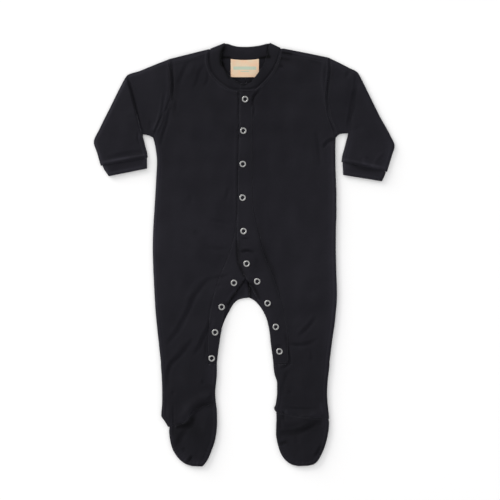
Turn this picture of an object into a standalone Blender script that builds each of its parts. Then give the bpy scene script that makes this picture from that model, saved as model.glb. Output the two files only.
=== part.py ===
"""Footed baby sleepsuit, fastened and laid flat on its back.

Frame: the cloth lies on the plane z = 0 with its front up. +Y points to the neck, +X to the
wearer's left, and the origin is under the middle of the whole garment. Left and right are the
wearer's. Sizes below are in millimetres and become metres when a mesh is made.

Every piece of cloth is a wall of one thickness round a middle surface. The back pieces lie
flat on the surface, the front pieces lie on them with a little loft, and sleeves and cuffs are
tubes pressed flat. The left front laps over the right front.
"""

import bmesh
import bpy
import numpy as np

MM = 0.001
MIDDLE = np.array([0.0, 0.8, 0.0])  # middle of the garment's box, in the tables' coordinates

# Cloth and layers
WALL = 1.2  # thickness of every cloth wall
GAP = 0.3  # clearance between pieces, at seams and between layers
STEP = WALL + GAP  # rise from one layer to the next
BACK_MID = WALL / 2  # middle surface of the pieces that lie on the ground
FOLD_MID = BACK_MID + STEP / 2  # height of a folded edge's middle
FOLD_RUN = 1.2  # width over which a folded edge turns from front to back

# Loft of the front over the back
EDGE_LIFT = 0.8  # rise just inside the outline
EDGE_RUN = 7.0  # width of that rise
BODY_LIFT = 1.9  # further rise towards the middle of each piece
BODY_RUN = 42.0  # distance over which it fades in
LAP_RUN = 25.0  # width over which the left front climbs onto the lap
LAP_FULL_Y = -40.0  # the lap is at full height above this
LAP_END_Y = -82.0  # and gone below this

# Poppers: open ring caps, fastened
RING_OUTER = 4.75
RING_INNER = 2.7
RING_HEIGHT = 1.0
RING_SEGMENTS = 16
RING_SIDES = 6
RING_CLEARANCE = 0.35

# Neck label, sewn flat inside the back neck
LABEL_WALL = 1.0
LABEL_LEFT = -18.8
LABEL_RIGHT = 20.9
LABEL_TOP = 282.6
LABEL_BOTTOM = 257.4

# Colours, linear RGB
CHARCOAL = (0.0152, 0.0145, 0.0185)
PEACH = (0.80, 0.53, 0.33)
NICKEL = (0.62, 0.61, 0.58)

# Columns of the upper body, from the shoulder down: y, shoulder or armhole, neck seam
CHEST_RIGHT = (
    (298.0, -52.4, -49.4),
    (292.0, -76.0, -50.9),
    (286.0, -99.9, -51.8),
    (283.5, -109.8, -51.9),
    (280.0, -109.0, -51.7),
    (272.0, -107.0, -49.8),
    (264.0, -105.3, -46.2),
    (257.0, -104.6, -41.0),
    (250.0, -104.0, -33.5),
    (244.0, -104.1, -25.3),
    (240.0, -104.4, -17.4),
    (236.5, -104.7, -8.1),
)
CHEST_LEFT = (
    (299.0, 57.8, 52.4),
    (292.0, 93.0, 50.1),
    (286.0, 122.1, 48.3),
    (280.0, 122.6, 46.2),
    (272.0, 123.2, 43.0),
    (264.0, 122.8, 38.6),
    (257.0, 121.6, 33.7),
    (250.0, 120.5, 28.0),
    (244.0, 120.1, 22.6),
    (240.0, 119.8, 18.4),
    (236.5, 119.6, 14.6),
)

# Columns of the body down to the end of the plackets: y, armhole or side of the right half,
# seam and free edge of the right placket, free edge and seam of the left placket, and
# armhole or side of the left half. The armholes run from SHOULDER_..._Y to UNDERARM_Y.
TORSO = (
    (236.5, -104.7, -8.1, 11.3, -6.1, 14.6, 119.6),
    (228.0, -106.5, -7.9, 11.3, -6.2, 13.8, 119.0),
    (216.0, -111.1, -7.7, 11.2, -6.4, 12.6, 120.4),
    (202.0, -118.5, -7.8, 11.1, -6.7, 12.3, 122.4),
    (186.0, -126.2, -8.0, 11.1, -7.0, 12.0, 128.0),
    (170.0, -131.9, -8.1, 11.0, -7.3, 11.7, 132.6),
    (155.0, -128.5, -8.3, 11.0, -7.6, 11.8, 132.1),
    (135.0, -126.4, -8.6, 11.0, -8.0, 11.8, 132.2),
    (110.0, -127.6, -8.9, 11.0, -8.6, 11.8, 132.9),
    (85.0, -129.0, -9.4, 11.0, -9.1, 12.0, 133.7),
    (60.0, -130.6, -10.8, 11.2, -9.6, 15.1, 133.7),
    (36.0, -132.0, -13.5, 11.6, -10.2, 20.1, 133.0),
    (10.0, -132.6, -19.1, 10.7, -10.4, 27.2, 132.8),
    (-10.0, -132.2, -27.0, 8.4, -8.5, 34.3, 133.2),
    (-26.0, -131.6, -33.7, 4.2, -2.1, 41.2, 133.6),
    (-40.0, -130.9, -38.8, -2.2, 6.1, 46.2, 134.2),
    (-54.0, -130.2, -43.2, -11.2, 13.7, 50.5, 134.5),
    (-68.0, -129.4, -47.0, -21.1, 21.3, 54.2, 134.2),
    (-82.0, -128.5, -49.8, -27.7, 28.2, 57.7, 133.0),
    (-96.0, -127.2, -51.4, -30.6, 33.4, 61.2, 131.6),
    (-112.0, -125.6, -52.6, -33.4, 36.7, 63.8, 129.4),
    (-128.0, -123.8, -53.1, -36.0, 38.4, 64.5, 127.1),
    (-144.0, -122.1, -53.2, -38.1, 40.6, 64.4, 125.1),
    (-158.0, -120.8, -53.2, -39.6, 42.2, 64.2, 123.6),
)
SHOULDER_RIGHT_Y = 283.5
SHOULDER_LEFT_Y = 286.0
UNDERARM_Y = 170.0

# Columns of the closed lower legs: y, outer side, then inner side or ankle seam
SHIN_RIGHT = (
    (-158.6, -120.8, -39.6),
    (-172.0, -119.9, -39.6),
    (-186.0, -119.2, -40.8),
    (-200.0, -118.9, -42.0),
    (-212.0, -118.9, -41.2),
    (-217.0, -119.0, -53.9),
    (-221.5, -119.4, -65.5),
    (-226.0, -119.9, -74.2),
    (-233.0, -120.2, -80.0),
    (-241.0, -115.2, -87.3),
    (-246.0, -112.2, -98.9),
    (-249.0, -110.6, -108.0),
)
SHIN_LEFT = (
    (-158.6, 123.6, 42.2),
    (-172.0, 122.2, 43.8),
    (-186.0, 120.8, 47.6),
    (-200.0, 120.2, 47.6),
    (-212.0, 120.7, 46.3),
    (-217.0, 121.2, 45.5),
    (-222.5, 121.7, 43.2),
    (-228.0, 122.3, 46.5),
    (-230.0, 122.5, 59.2),
    (-232.5, 122.8, 73.7),
    (-235.0, 123.0, 89.6),
    (-236.5, 123.0, 105.6),
    (-238.0, 123.0, 120.6),
)
ANKLE_RIGHT_Y = -212.0
ANKLE_LEFT_Y = -228.0

# Columns of the back's inner edge: y, x. The neck seam, the centre seam, then the arch
# between the legs down to the end of the plackets.
BACK_EDGE_RIGHT = (
    (298.0, -49.4),
    (293.0, -40.9),
    (288.0, -28.6),
    (284.1, -14.1),
    (283.0, 2.2),
    (150.0, 4.3),
    (22.0, 6.1),
    (-62.0, 7.3),
    (-63.0, -1.7),
    (-66.3, -10.6),
    (-82.0, -21.8),
    (-96.0, -28.8),
    (-112.0, -33.8),
    (-128.0, -35.8),
    (-144.0, -38.2),
    (-158.0, -39.6),
)
BACK_EDGE_LEFT = (
    (299.0, 52.4),
    (295.7, 46.1),
    (288.7, 34.5),
    (284.3, 20.0),
    (283.0, 2.2),
    (150.0, 4.3),
    (22.0, 6.1),
    (-62.0, 7.3),
    (-65.8, 14.2),
    (-68.0, 16.9),
    (-82.0, 27.5),
    (-96.0, 33.6),
    (-112.0, 37.1),
    (-128.0, 38.4),
    (-144.0, 40.6),
    (-158.0, 42.2),
)

# Columns of the sleeves, from the first row past the armhole to the cuff seam:
# folded top edge x, y, then underarm edge x, y
SLEEVE_RIGHT = (
    (-129.3, 275.6, -137.3, 172.5),
    (-151.1, 266.7, -143.0, 173.9),
    (-168.9, 260.4, -147.4, 174.4),
    (-171.2, 257.5, -146.9, 173.4),
    (-179.4, 242.7, -146.6, 170.2),
    (-193.9, 213.7, -145.3, 165.2),
    (-209.8, 181.8, -143.8, 159.4),
    (-217.8, 163.0, -142.4, 154.3),
    (-213.4, 148.5, -140.7, 148.0),
    (-207.9, 129.2, -139.8, 141.1),
)
SLEEVE_LEFT = (
    (138.9, 277.7, 138.2, 174.7),
    (152.0, 271.0, 144.7, 175.6),
    (163.0, 265.2, 150.9, 176.2),
    (170.2, 252.9, 150.4, 173.1),
    (181.8, 229.7, 149.5, 169.8),
    (196.2, 200.7, 148.0, 165.2),
    (211.4, 173.1, 146.4, 159.4),
    (217.8, 157.5, 144.7, 152.8),
    (214.3, 144.9, 142.2, 144.1),
    (209.1, 124.1, 140.8, 136.2),
)

# Columns of the cuffs, from the cuff seam to the wrist: the same edges
CUFF_RIGHT = (
    (-205.6, 129.6, -141.0, 140.9),
    (-203.0, 124.0, -140.8, 136.0),
    (-200.2, 119.8, -140.8, 131.5),
    (-196.3, 114.0, -140.7, 125.1),
)
CUFF_LEFT = (
    (206.8, 124.5, 142.3, 135.9),
    (205.2, 119.0, 142.6, 131.0),
    (202.8, 113.5, 143.0, 124.5),
    (199.7, 106.6, 143.3, 115.9),
)

# Columns of the feet below the ankle seam, down to the toes: outer x, y, then inner x, y
FOOT_RIGHT = (
    (-108.9, -256.0, -39.5, -228.0),
    (-108.2, -263.0, -39.2, -243.0),
    (-106.8, -271.5, -40.3, -257.5),
    (-103.8, -281.5, -42.8, -270.8),
    (-98.9, -290.0, -46.6, -281.8),
    (-92.1, -297.9, -50.7, -292.0),
    (-84.2, -303.2, -54.7, -300.0),
    (-75.5, -306.0, -60.2, -306.6),
)
FOOT_LEFT = (
    (123.1, -242.5, 46.7, -236.0),
    (122.8, -249.5, 46.3, -247.0),
    (121.4, -259.7, 46.1, -259.0),
    (119.2, -269.8, 47.4, -269.1),
    (116.0, -280.0, 50.3, -280.7),
    (111.6, -289.9, 54.8, -291.0),
    (106.7, -298.3, 60.9, -298.4),
    (100.6, -303.5, 68.3, -303.5),
    (92.5, -305.6, 78.0, -306.1),
)

# Columns of the neckband, one strip: seam x, y, then finished edge x, y. It starts at its end
# on top of the lap, runs up the left front, folds at the left shoulder, crosses the back,
# folds at the right shoulder and runs down the right front to its end under the lap.
BAND_LEFT_FRONT = (
    (-5.8, 236.5, -5.2, 249.0),
    (4.8, 236.5, 3.8, 248.4),
    (14.6, 236.5, 11.3, 250.8),
    (18.4, 240.0, 14.2, 253.0),
    (22.6, 244.0, 17.1, 256.2),
    (28.0, 250.0, 21.0, 261.0),
    (33.7, 257.0, 24.6, 267.0),
    (38.6, 264.0, 27.6, 272.5),
    (43.0, 272.0, 29.9, 279.7),
    (46.2, 280.0, 31.6, 286.0),
    (48.3, 286.0, 32.9, 291.0),
    (50.1, 292.0, 34.5, 297.5),
)
BAND_LEFT_FOLD = (52.8, 300.1, 37.4, 307.5)
BAND_BACK = (
    (46.1, 295.7, 32.8, 305.9),
    (34.5, 288.7, 24.4, 303.9),
    (20.0, 284.3, 14.2, 302.3),
    (2.2, 283.0, 2.6, 301.5),
    (-14.1, 284.1, -8.3, 301.9),
    (-28.6, 288.0, -17.7, 303.9),
    (-40.9, 293.0, -24.2, 305.9),
)
BAND_RIGHT_FOLD = (-49.4, 299.0, -28.4, 307.3)
BAND_RIGHT_FRONT = (
    (-50.9, 292.0, -31.0, 298.5),
    (-51.8, 286.0, -32.3, 293.3),
    (-51.9, 283.5, -32.9, 291.0),
    (-51.7, 280.0, -33.4, 287.7),
    (-49.8, 272.0, -33.2, 280.0),
    (-46.2, 264.0, -31.0, 272.5),
    (-41.0, 257.0, -27.5, 266.5),
    (-33.5, 250.0, -22.0, 260.5),
    (-25.3, 244.0, -16.3, 255.0),
    (-17.4, 240.0, -10.0, 251.2),
    (-8.1, 236.5, -4.0, 248.8),
    (4.8, 236.5, 4.6, 247.8),
    (12.8, 236.5, 10.7, 249.6),
)

# Popper centres, x and y, from the neck or crotch down
POPPERS = {
    "centre": (
        (0.9, 225.8),
        (-1.3, 179.7),
        (-2.0, 131.5),
        (-2.3, 82.8),
        (-1.0, 34.4),
        (3.5, -12.6),
    ),
    "right_leg": ((-14.9, -40.5), (-32.6, -75.5), (-42.2, -112.2), (-47.6, -149.3)),
    "left_leg": ((18.8, -38.4), (33.8, -70.0), (45.7, -104.3), (51.0, -139.8)),
}

# The largest folds: a line from x1, y1 to x2, y2, the height beside it, how far that height
# runs out, and the side of the line that it is on (+1 left of the line's direction, -1 right
# of it, 0 both sides). A negative height is a trough.
FOLDS = (
    (-169.9, 259.0, -147.2, 173.9, 2.0, 22.0, -1),
    (162.0, 252.0, 150.5, 183.0, -1.0, 7.0, 0),
    (-42.0, -213.0, -110.0, -246.0, -0.9, 9.0, 0),
    (123.0, -234.0, 47.0, -256.0, -0.9, 10.0, 0),
    (-28.0, -8.0, -70.0, -50.0, -0.7, 12.0, 0),
    (-70.0, -50.0, -90.0, -112.0, -0.5, 14.0, 0),
)

PANEL_FRACTIONS = np.array([0.0, 0.055, 0.2, 0.4, 0.6, 0.8, 0.945, 1.0])
PLACKET_FRACTIONS = np.array([0.0, 0.34, 0.67, 1.0])
BAND_FRACTIONS = np.array([0.0, 0.34, 0.67, 1.0])
UP = np.array([0.0, 0.0, 1.0])


def columns(table):
    """A table's columns as arrays."""
    return np.array(table, dtype=float).T


def smooth(value):
    """A smooth rise from 0 to 1 as value goes from 0 to 1."""
    value = np.clip(value, 0.0, 1.0)
    return value * value * (3.0 - 2.0 * value)


def distance_to_segments(points, starts, ends):
    """Distance in the plane from each point to the nearest of the segments."""
    along = ends - starts
    length = np.maximum((along**2).sum(axis=1), 1e-9)
    offset = points[:, None, :] - starts[None, :, :]
    share = np.clip((offset * along).sum(axis=2) / length, 0.0, 1.0)
    nearest = offset - share[:, :, None] * along
    return np.sqrt((nearest**2).sum(axis=2)).min(axis=1)


def outline():
    """The garment's outline in the plane, as one closed ring of points."""
    torso = columns(TORSO)
    body = torso[0] < UNDERARM_Y
    right_side = np.stack([torso[1], torso[0]], axis=1)[body]
    left_side = np.stack([torso[6], torso[0]], axis=1)[body]
    shin_right = columns(SHIN_RIGHT)
    shin_left = columns(SHIN_LEFT)
    leg_right = shin_right[0] >= ANKLE_RIGHT_Y
    leg_left = shin_left[0] >= ANKLE_LEFT_Y
    inner_right = np.stack([shin_right[2], shin_right[0]], axis=1)[leg_right]
    inner_left = np.stack([shin_left[2], shin_left[0]], axis=1)[leg_left]
    outer_right = np.stack([shin_right[1], shin_right[0]], axis=1)
    outer_left = np.stack([shin_left[1], shin_left[0]], axis=1)
    arch_right = np.array([(x, y) for y, x in BACK_EDGE_RIGHT if y <= -62.0])
    arch_left = np.array([(x, y) for y, x in BACK_EDGE_LEFT if y <= -62.0])
    foot_right = np.array(FOOT_RIGHT)
    foot_left = np.array(FOOT_LEFT)
    sleeve_right = np.array(SLEEVE_RIGHT + CUFF_RIGHT[1:])
    sleeve_left = np.array(SLEEVE_LEFT + CUFF_LEFT[1:])
    band = np.array((BAND_LEFT_FOLD,) + BAND_BACK + (BAND_RIGHT_FOLD,))
    return np.concatenate(
        [
            band[:, 2:],
            band[-1:, :2],
            [CHEST_RIGHT[3][1::-1]],
            sleeve_right[:, :2],
            sleeve_right[::-1, 2:],
            [TORSO[5][1::-1]],
            right_side,
            outer_right,
            foot_right[:, :2],
            foot_right[::-1, 2:],
            inner_right[::-1],
            arch_right[::-1],
            arch_left,
            inner_left,
            foot_left[:, 2:],
            foot_left[::-1, :2],
            outer_left[::-1],
            left_side[::-1],
            [TORSO[5][:5:-1] + TORSO[5][:1]],
            sleeve_left[::-1, 2:],
            sleeve_left[:, :2][::-1],
            [CHEST_LEFT[2][1::-1]],
            band[:1, :2],
        ]
    )


OUTLINE = outline()


def fold_relief(points):
    """Height that the largest folds add: a soft step on one side of a line, or a trough."""
    relief = np.zeros(len(points))
    for x1, y1, x2, y2, height, width, side in FOLDS:
        start = np.array([x1, y1])
        along = np.array([x2, y2]) - start
        length = np.hypot(*along)
        along = along / length
        offset = points - start
        run = offset @ along
        across = offset @ np.array([-along[1], along[0]])
        beyond = np.maximum(np.maximum(-run, run - length), 0.0)
        fade = np.exp(-((beyond / width) ** 2))
        if side:
            distance = across * side
            shape = np.exp(-np.maximum(distance, 0.0) / width) * smooth(distance / 2.0)
        else:
            shape = np.exp(-((across / width) ** 2))
        relief += height * shape * fade
    return relief


def front_height(xy, lap=0.0):
    """Height of the front's middle surface: a quarter round at the outline, then a broad
    loft that fades in with the distance from the outline, the folds, and the lap."""
    points = xy.reshape(-1, 2)
    inside = distance_to_segments(points, OUTLINE, np.roll(OUTLINE, -1, axis=0))
    rim = 1.0 - np.minimum(inside / EDGE_RUN, 1.0)
    height = EDGE_LIFT * np.sqrt(1.0 - rim**2)
    height += BODY_LIFT * (1.0 - np.exp(-inside / BODY_RUN))
    height += fold_relief(points) * smooth(inside / EDGE_RUN)
    height = np.maximum(height, 0.0) + BACK_MID + STEP
    return height.reshape(xy.shape[:-1]) + STEP * lap


def lap_share(x, y, seam_x):
    """How far the left front has climbed onto the lap at a point, from 0 to 1."""
    across = 1.0 - smooth((x - seam_x) / LAP_RUN)
    return across * smooth((y - LAP_END_Y) / (LAP_FULL_Y - LAP_END_Y))


def inset(grid, distance):
    """The grid of points in the plane, with its rim moved inwards by the distance."""
    rows, cols = grid.shape[:2]
    rim = [(0, j) for j in range(cols)] + [(i, cols - 1) for i in range(1, rows)]
    rim += [(rows - 1, j) for j in range(cols - 2, -1, -1)]
    rim += [(i, 0) for i in range(rows - 2, 0, -1)]
    rim = np.array(rim)
    ring = grid[rim[:, 0], rim[:, 1]]
    edge = np.roll(ring, -1, axis=0) - ring
    edge /= np.maximum(np.linalg.norm(edge, axis=1, keepdims=True), 1e-9)
    normal = np.stack([-edge[:, 1], edge[:, 0]], axis=1)
    x, y = ring.T
    if (x * np.roll(y, -1) - np.roll(x, -1) * y).sum() < 0:
        normal = -normal
    before = np.roll(normal, 1, axis=0)
    cosine = np.clip((normal * before).sum(axis=1), -0.6, 1.0)
    moved = ring + distance * (normal + before) / (1.0 + cosine)[:, None]
    result = grid.copy()
    result[rim[:, 0], rim[:, 1]] = moved
    return result


def scanned(outer, inner, fractions):
    """A grid with a level row at the height of each point of either edge, so that pieces
    that share an edge share its points. Each edge is a table with the columns x and y."""
    levels = np.unique(np.concatenate([outer[:, 1], inner[:, 1]]))[::-1]
    x_outer = np.interp(levels, outer[::-1, 1], outer[::-1, 0])
    x_inner = np.interp(levels, inner[::-1, 1], inner[::-1, 0])
    x = x_outer[:, None] + (x_inner - x_outer)[:, None] * fractions
    y = np.repeat(levels[:, None], len(fractions), axis=1)
    return np.stack([x, y], axis=2)


def ruled(first_row, sections):
    """A grid whose first row is a seam given point by point. The other rows are straight
    lines between the sections' ends, divided as the seam is."""
    steps = np.linalg.norm(np.diff(first_row, axis=0), axis=1)
    share = np.concatenate([[0.0], np.cumsum(steps)]) / steps.sum()
    sections = np.array(sections)
    starts = sections[:, None, :2]
    ends = sections[:, None, 2:]
    rest = starts + (ends - starts) * share[None, :, None]
    return np.concatenate([first_row[None], rest])


def material(name, colour, roughness, metallic=0.0):
    """A Principled BSDF with one colour."""
    made = bpy.data.materials.new(name)
    made.use_nodes = True
    shader = made.node_tree.nodes["Principled BSDF"]
    shader.inputs["Base Color"].default_value = (*colour, 1.0)
    shader.inputs["Roughness"].default_value = roughness
    shader.inputs["Metallic"].default_value = metallic
    return made


def add_object(name, points, faces, colour, roughness=0.85, metallic=0.0):
    """An object of points in the tables' millimetres, with its faces turned outwards."""
    mesh = bpy.data.meshes.new(name)
    mesh.from_pydata(((np.asarray(points) - MIDDLE) * MM).tolist(), [], faces)
    shell = bmesh.new()
    shell.from_mesh(mesh)
    bmesh.ops.recalc_face_normals(shell, faces=shell.faces)
    shell.to_mesh(mesh)
    shell.free()
    mesh.shade_smooth()
    mesh.set_sharp_from_angle(angle=0.7)
    mesh.materials.append(material(name, colour, roughness, metallic))
    made = bpy.data.objects.new(name, mesh)
    bpy.context.scene.collection.objects.link(made)
    return made


def add_wall(name, middle, direction, tube=False, wall=WALL, colour=CHARCOAL):
    """A closed wall round a grid of middle points: one skin half the thickness out along
    each point's direction, one skin in, and faces that join them round every open edge."""
    rows, cols = middle.shape[:2]
    direction = np.broadcast_to(direction, middle.shape)
    outer = middle + direction * wall / 2
    inner = middle - direction * wall / 2
    points = np.concatenate([outer.reshape(-1, 3), inner.reshape(-1, 3)])
    index = np.arange(rows * cols).reshape(rows, cols)
    if tube:
        index = np.concatenate([index, index[:, :1]], axis=1)
    quads = np.stack([index[:-1, :-1], index[1:, :-1], index[1:, 1:], index[:-1, 1:]], axis=-1)
    quads = quads.reshape(-1, 4)
    faces = [quads, quads[:, ::-1] + rows * cols]
    edges = [index[0], index[-1][::-1]]
    if not tube:
        edges += [index[:, 0][::-1], index[:, -1]]
    for edge in edges:
        rim = np.stack([edge[:-1], edge[1:]], axis=-1)
        faces.append(np.concatenate([rim, rim[:, ::-1] + rows * cols], axis=1))
    return add_object(name, points, np.concatenate(faces).tolist(), colour)


def add_flat(name, xy):
    """A back piece, flat on the ground."""
    xy = inset(xy, GAP / 2)
    middle = np.dstack([xy, np.full(xy.shape[:2], BACK_MID)])
    return add_wall(name, middle, UP)


def add_front(name, xy, lap=0.0):
    """A front piece, lofted over the back."""
    xy = inset(xy, GAP / 2)
    return add_wall(name, np.dstack([xy, front_height(xy, lap)]), UP)


def edge_points(*tables):
    """One edge from several tables of y and x, as x and y."""
    return np.array([(x, y) for table in tables for y, x in table])


def body_edges():
    """The long edges of the body's panels, from the neck down, as x and y."""
    torso = columns(TORSO)
    levels = torso[0].tolist()
    side_right = list(zip(levels, torso[1]))
    side_left = list(zip(levels, torso[6]))
    chest_right = columns(CHEST_RIGHT)
    chest_left = columns(CHEST_LEFT)
    shin_right = columns(SHIN_RIGHT)
    shin_left = columns(SHIN_LEFT)
    legs_right = list(zip(shin_right[0], shin_right[2]))
    legs_left = list(zip(shin_left[0], shin_left[2]))
    return {
        "outer_right": edge_points(
            zip(chest_right[0][:-1], chest_right[1][:-1]),
            side_right,
            zip(shin_right[0], shin_right[1]),
        ),
        "outer_left": edge_points(
            zip(chest_left[0][:-1], chest_left[1][:-1]),
            side_left,
            zip(shin_left[0], shin_left[1]),
        ),
        "front_right": edge_points(
            zip(chest_right[0][:-1], chest_right[2][:-1]), zip(levels, torso[2]), legs_right
        ),
        "front_left": edge_points(
            zip(chest_left[0][:-1], chest_left[2][:-1]), zip(levels, torso[5]), legs_left
        ),
        "back_right": edge_points(BACK_EDGE_RIGHT, legs_right),
        "back_left": edge_points(BACK_EDGE_LEFT, legs_left),
        "seam_right": edge_points(zip(levels, torso[2])),
        "free_right": edge_points(zip(levels, torso[3])),
        "free_left": edge_points(zip(levels, torso[4])),
        "seam_left": edge_points(zip(levels, torso[5])),
    }


def add_body(edges):
    """The two fronts and the two backs, joined to each other at the sides, shoulders and
    centre back."""
    for side in ("right", "left"):
        back = scanned(edges["outer_" + side], edges["back_" + side], PANEL_FRACTIONS)
        add_flat("back_" + side, back)
    add_front(
        "front_right", scanned(edges["outer_right"], edges["front_right"], PANEL_FRACTIONS)
    )
    left = scanned(edges["outer_left"], edges["front_left"], PANEL_FRACTIONS)
    seam = edges["seam_left"]
    seam_x = np.interp(left[:, :, 1], seam[::-1, 1], seam[::-1, 0])
    add_front("front_left", left, lap_share(left[:, :, 0], left[:, :, 1], seam_x))


def add_plackets(edges):
    """The two placket bands. Each runs from the neckband down the centre front and along
    the inside of its leg. The left one laps over the right one above the crotch."""
    under = scanned(edges["seam_right"], edges["free_right"], PLACKET_FRACTIONS)
    add_front("placket_right", under)
    over = scanned(edges["free_left"], edges["seam_left"], PLACKET_FRACTIONS)
    add_front("placket_left", over, lap_share(0.0, over[:, :, 1], 0.0))


def armhole(edge, shoulder_y):
    """The armhole seam, from the shoulder down to the underarm."""
    return edge[(edge[:, 1] <= shoulder_y) & (edge[:, 1] >= UNDERARM_Y)]


def add_tube(name, grid):
    """A tube pressed flat. Each row of the grid runs across it from one folded edge to the
    other; the front lies over the back, and both folds turn through half a circle."""
    across = grid[:, -1] - grid[:, 0]
    across /= np.linalg.norm(across, axis=1, keepdims=True)
    first = grid[:, 0] + across * WALL / 2
    last = grid[:, -1] - across * WALL / 2
    inner = grid[:, 1:-1]
    front = np.concatenate(
        [(first + across * FOLD_RUN)[:, None], inner, (last - across * FOLD_RUN)[:, None]], axis=1
    )
    ends = np.stack([first, last], axis=1)
    front_z = front_height(front)
    front_z[:, [0, -1]] = BACK_MID + STEP
    top = np.dstack([front, front_z])
    bottom = np.dstack([front[:, ::-1], np.full(front.shape[:2], BACK_MID)])
    folds = np.dstack([ends, np.full(ends.shape[:2], FOLD_MID)])
    middle = np.concatenate([folds[:, :1], top, folds[:, 1:], bottom], axis=1)
    # Both open ends stop half a gap short of the seam they meet.
    for end, following in ((0, 1), (-1, -2)):
        run = middle[following] - middle[end]
        run[:, 2] = 0.0
        run /= np.linalg.norm(run, axis=1, keepdims=True)
        middle[end] += run * GAP
    count = front.shape[1]
    out = np.pad(across, ((0, 0), (0, 1)))[:, None, :]
    rise = np.broadcast_to(UP, (len(grid), count, 3))
    direction = np.concatenate([-out, rise, out, -rise], axis=1)
    return add_wall(name, middle, direction, tube=True)


def add_sleeves(edges):
    """Long sleeves folded flat at their top edge, and their cuffs."""
    for side, shoulder_y, sleeve, cuff in (
        ("right", SHOULDER_RIGHT_Y, SLEEVE_RIGHT, CUFF_RIGHT),
        ("left", SHOULDER_LEFT_Y, SLEEVE_LEFT, CUFF_LEFT),
    ):
        seam = armhole(edges["outer_" + side], shoulder_y)
        add_tube("sleeve_" + side, ruled(seam, sleeve))
        cuff = np.array(cuff)
        first_row = cuff[0, :2] + (cuff[0, 2:] - cuff[0, :2]) * np.linspace(0, 1, 7)[:, None]
        add_tube("cuff_" + side, ruled(first_row, cuff[1:]))


def add_feet(edges):
    """The upper and the sole of each foot, below the ankle seam."""
    for side, sections, top in (
        ("right", FOOT_RIGHT, ANKLE_RIGHT_Y),
        ("left", FOOT_LEFT, ANKLE_LEFT_Y),
    ):
        inner = edges["front_" + side]
        seam = inner[inner[:, 1] <= top][::-1]
        grid = ruled(seam, sections)
        add_flat("foot_sole_" + side, grid)
        add_front("foot_upper_" + side, grid)


def turn(fold):
    """The three stations of the neckband round a shoulder fold: in front of it, on it and
    behind it, as seam and edge points with their heights and their outward directions."""
    seam = np.array(fold[:2])
    edge = np.array(fold[2:])
    along = (edge - seam) / np.linalg.norm(edge - seam)
    out = np.array([along[1], -along[0]])
    out *= np.sign(out[0] * seam[0])
    inward = -out * FOLD_RUN
    front = np.concatenate([seam + inward, edge + inward])
    return front, np.array(fold, dtype=float), out


def add_neckband():
    """The neckband, one strip of rib round the neck. Its left end lies over its right end."""
    left_front, left_mid, left_out = turn(BAND_LEFT_FOLD)
    right_front, right_mid, right_out = turn(BAND_RIGHT_FOLD)
    stations = [*BAND_LEFT_FRONT, left_front, left_mid, left_front, *BAND_BACK]
    stations += [right_front, right_mid, right_front, *BAND_RIGHT_FRONT]
    stations = np.array(stations, dtype=float)
    left_fold = len(BAND_LEFT_FRONT) + 1
    right_fold = left_fold + len(BAND_BACK) + 4
    number = np.arange(len(stations))
    is_back = (number > left_fold) & (number < right_fold)
    seam = stations[:, None, :2]
    edge = stations[:, None, 2:]
    xy = seam + (edge - seam) * BAND_FRACTIONS[None, :, None]
    width = np.linalg.norm(edge - seam, axis=2, keepdims=True)
    xy[:, :1] += (edge - seam) / width * GAP / 2
    seam_left = TORSO[0][5]
    lap = (1.0 - smooth((xy[:, :, 0] - seam_left) / LAP_RUN)) * (number < left_fold)[:, None]
    height = front_height(xy, lap)
    for fold in (left_fold, right_fold):
        height[fold - 1 : fold + 2] = BACK_MID + STEP
    height[is_back] = BACK_MID
    height[[left_fold, right_fold]] = FOLD_MID
    direction = np.repeat(UP[None], len(stations), axis=0)
    direction[is_back] = -UP
    direction[left_fold] = (*left_out, 0.0)
    direction[right_fold] = (*right_out, 0.0)
    add_wall("neckband", np.dstack([xy, height]), direction[:, None, :])


def add_label():
    """A plain woven label, flat on the inside of the back below the neckband."""
    x, y = np.meshgrid(
        np.linspace(LABEL_LEFT, LABEL_RIGHT, 6), np.linspace(LABEL_TOP, LABEL_BOTTOM, 4)
    )
    height = np.full(x.shape, WALL + GAP + LABEL_WALL / 2)
    add_wall("neck_label", np.dstack([x, y, height]), UP, wall=LABEL_WALL, colour=PEACH)


def add_popper(name, centre, lap):
    """A ring cap on a band: a circle of flattened round section, just over the cloth."""
    turns = np.linspace(0.0, 2 * np.pi, RING_SEGMENTS, endpoint=False)
    round_section = np.linspace(0.0, 2 * np.pi, RING_SIDES, endpoint=False)
    middle = (RING_OUTER + RING_INNER) / 2
    radius = middle + (RING_OUTER - RING_INNER) / 2 * np.cos(round_section)
    rise = RING_HEIGHT / 2 * np.sin(round_section) / np.sin(np.pi / 3)
    around = np.stack([np.cos(turns), np.sin(turns)], axis=1)
    under = np.array(centre) + around * RING_OUTER
    base = front_height(under, lap).max() + WALL / 2 + RING_CLEARANCE
    points = np.empty((RING_SEGMENTS, RING_SIDES, 3))
    points[:, :, :2] = np.array(centre) + around[:, None, :] * radius[None, :, None]
    points[:, :, 2] = base + RING_HEIGHT / 2 + rise
    index = np.arange(RING_SEGMENTS * RING_SIDES).reshape(RING_SEGMENTS, RING_SIDES)
    index = np.pad(index, ((0, 1), (0, 1)), mode="wrap")
    faces = np.stack([index[:-1, :-1], index[1:, :-1], index[1:, 1:], index[:-1, 1:]], axis=-1)
    add_object(
        name, points.reshape(-1, 3), faces.reshape(-1, 4).tolist(), NICKEL, 0.28, 1.0
    )


def add_poppers():
    """Every popper, on the band that carries it."""
    for row, centres in POPPERS.items():
        for number, centre in enumerate(centres, start=1):
            on_left = row != "right_leg"
            lap = float(lap_share(0.0, centre[1], 0.0)) if on_left else 0.0
            add_popper(f"popper_{row}_{number}", centre, lap)


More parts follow.
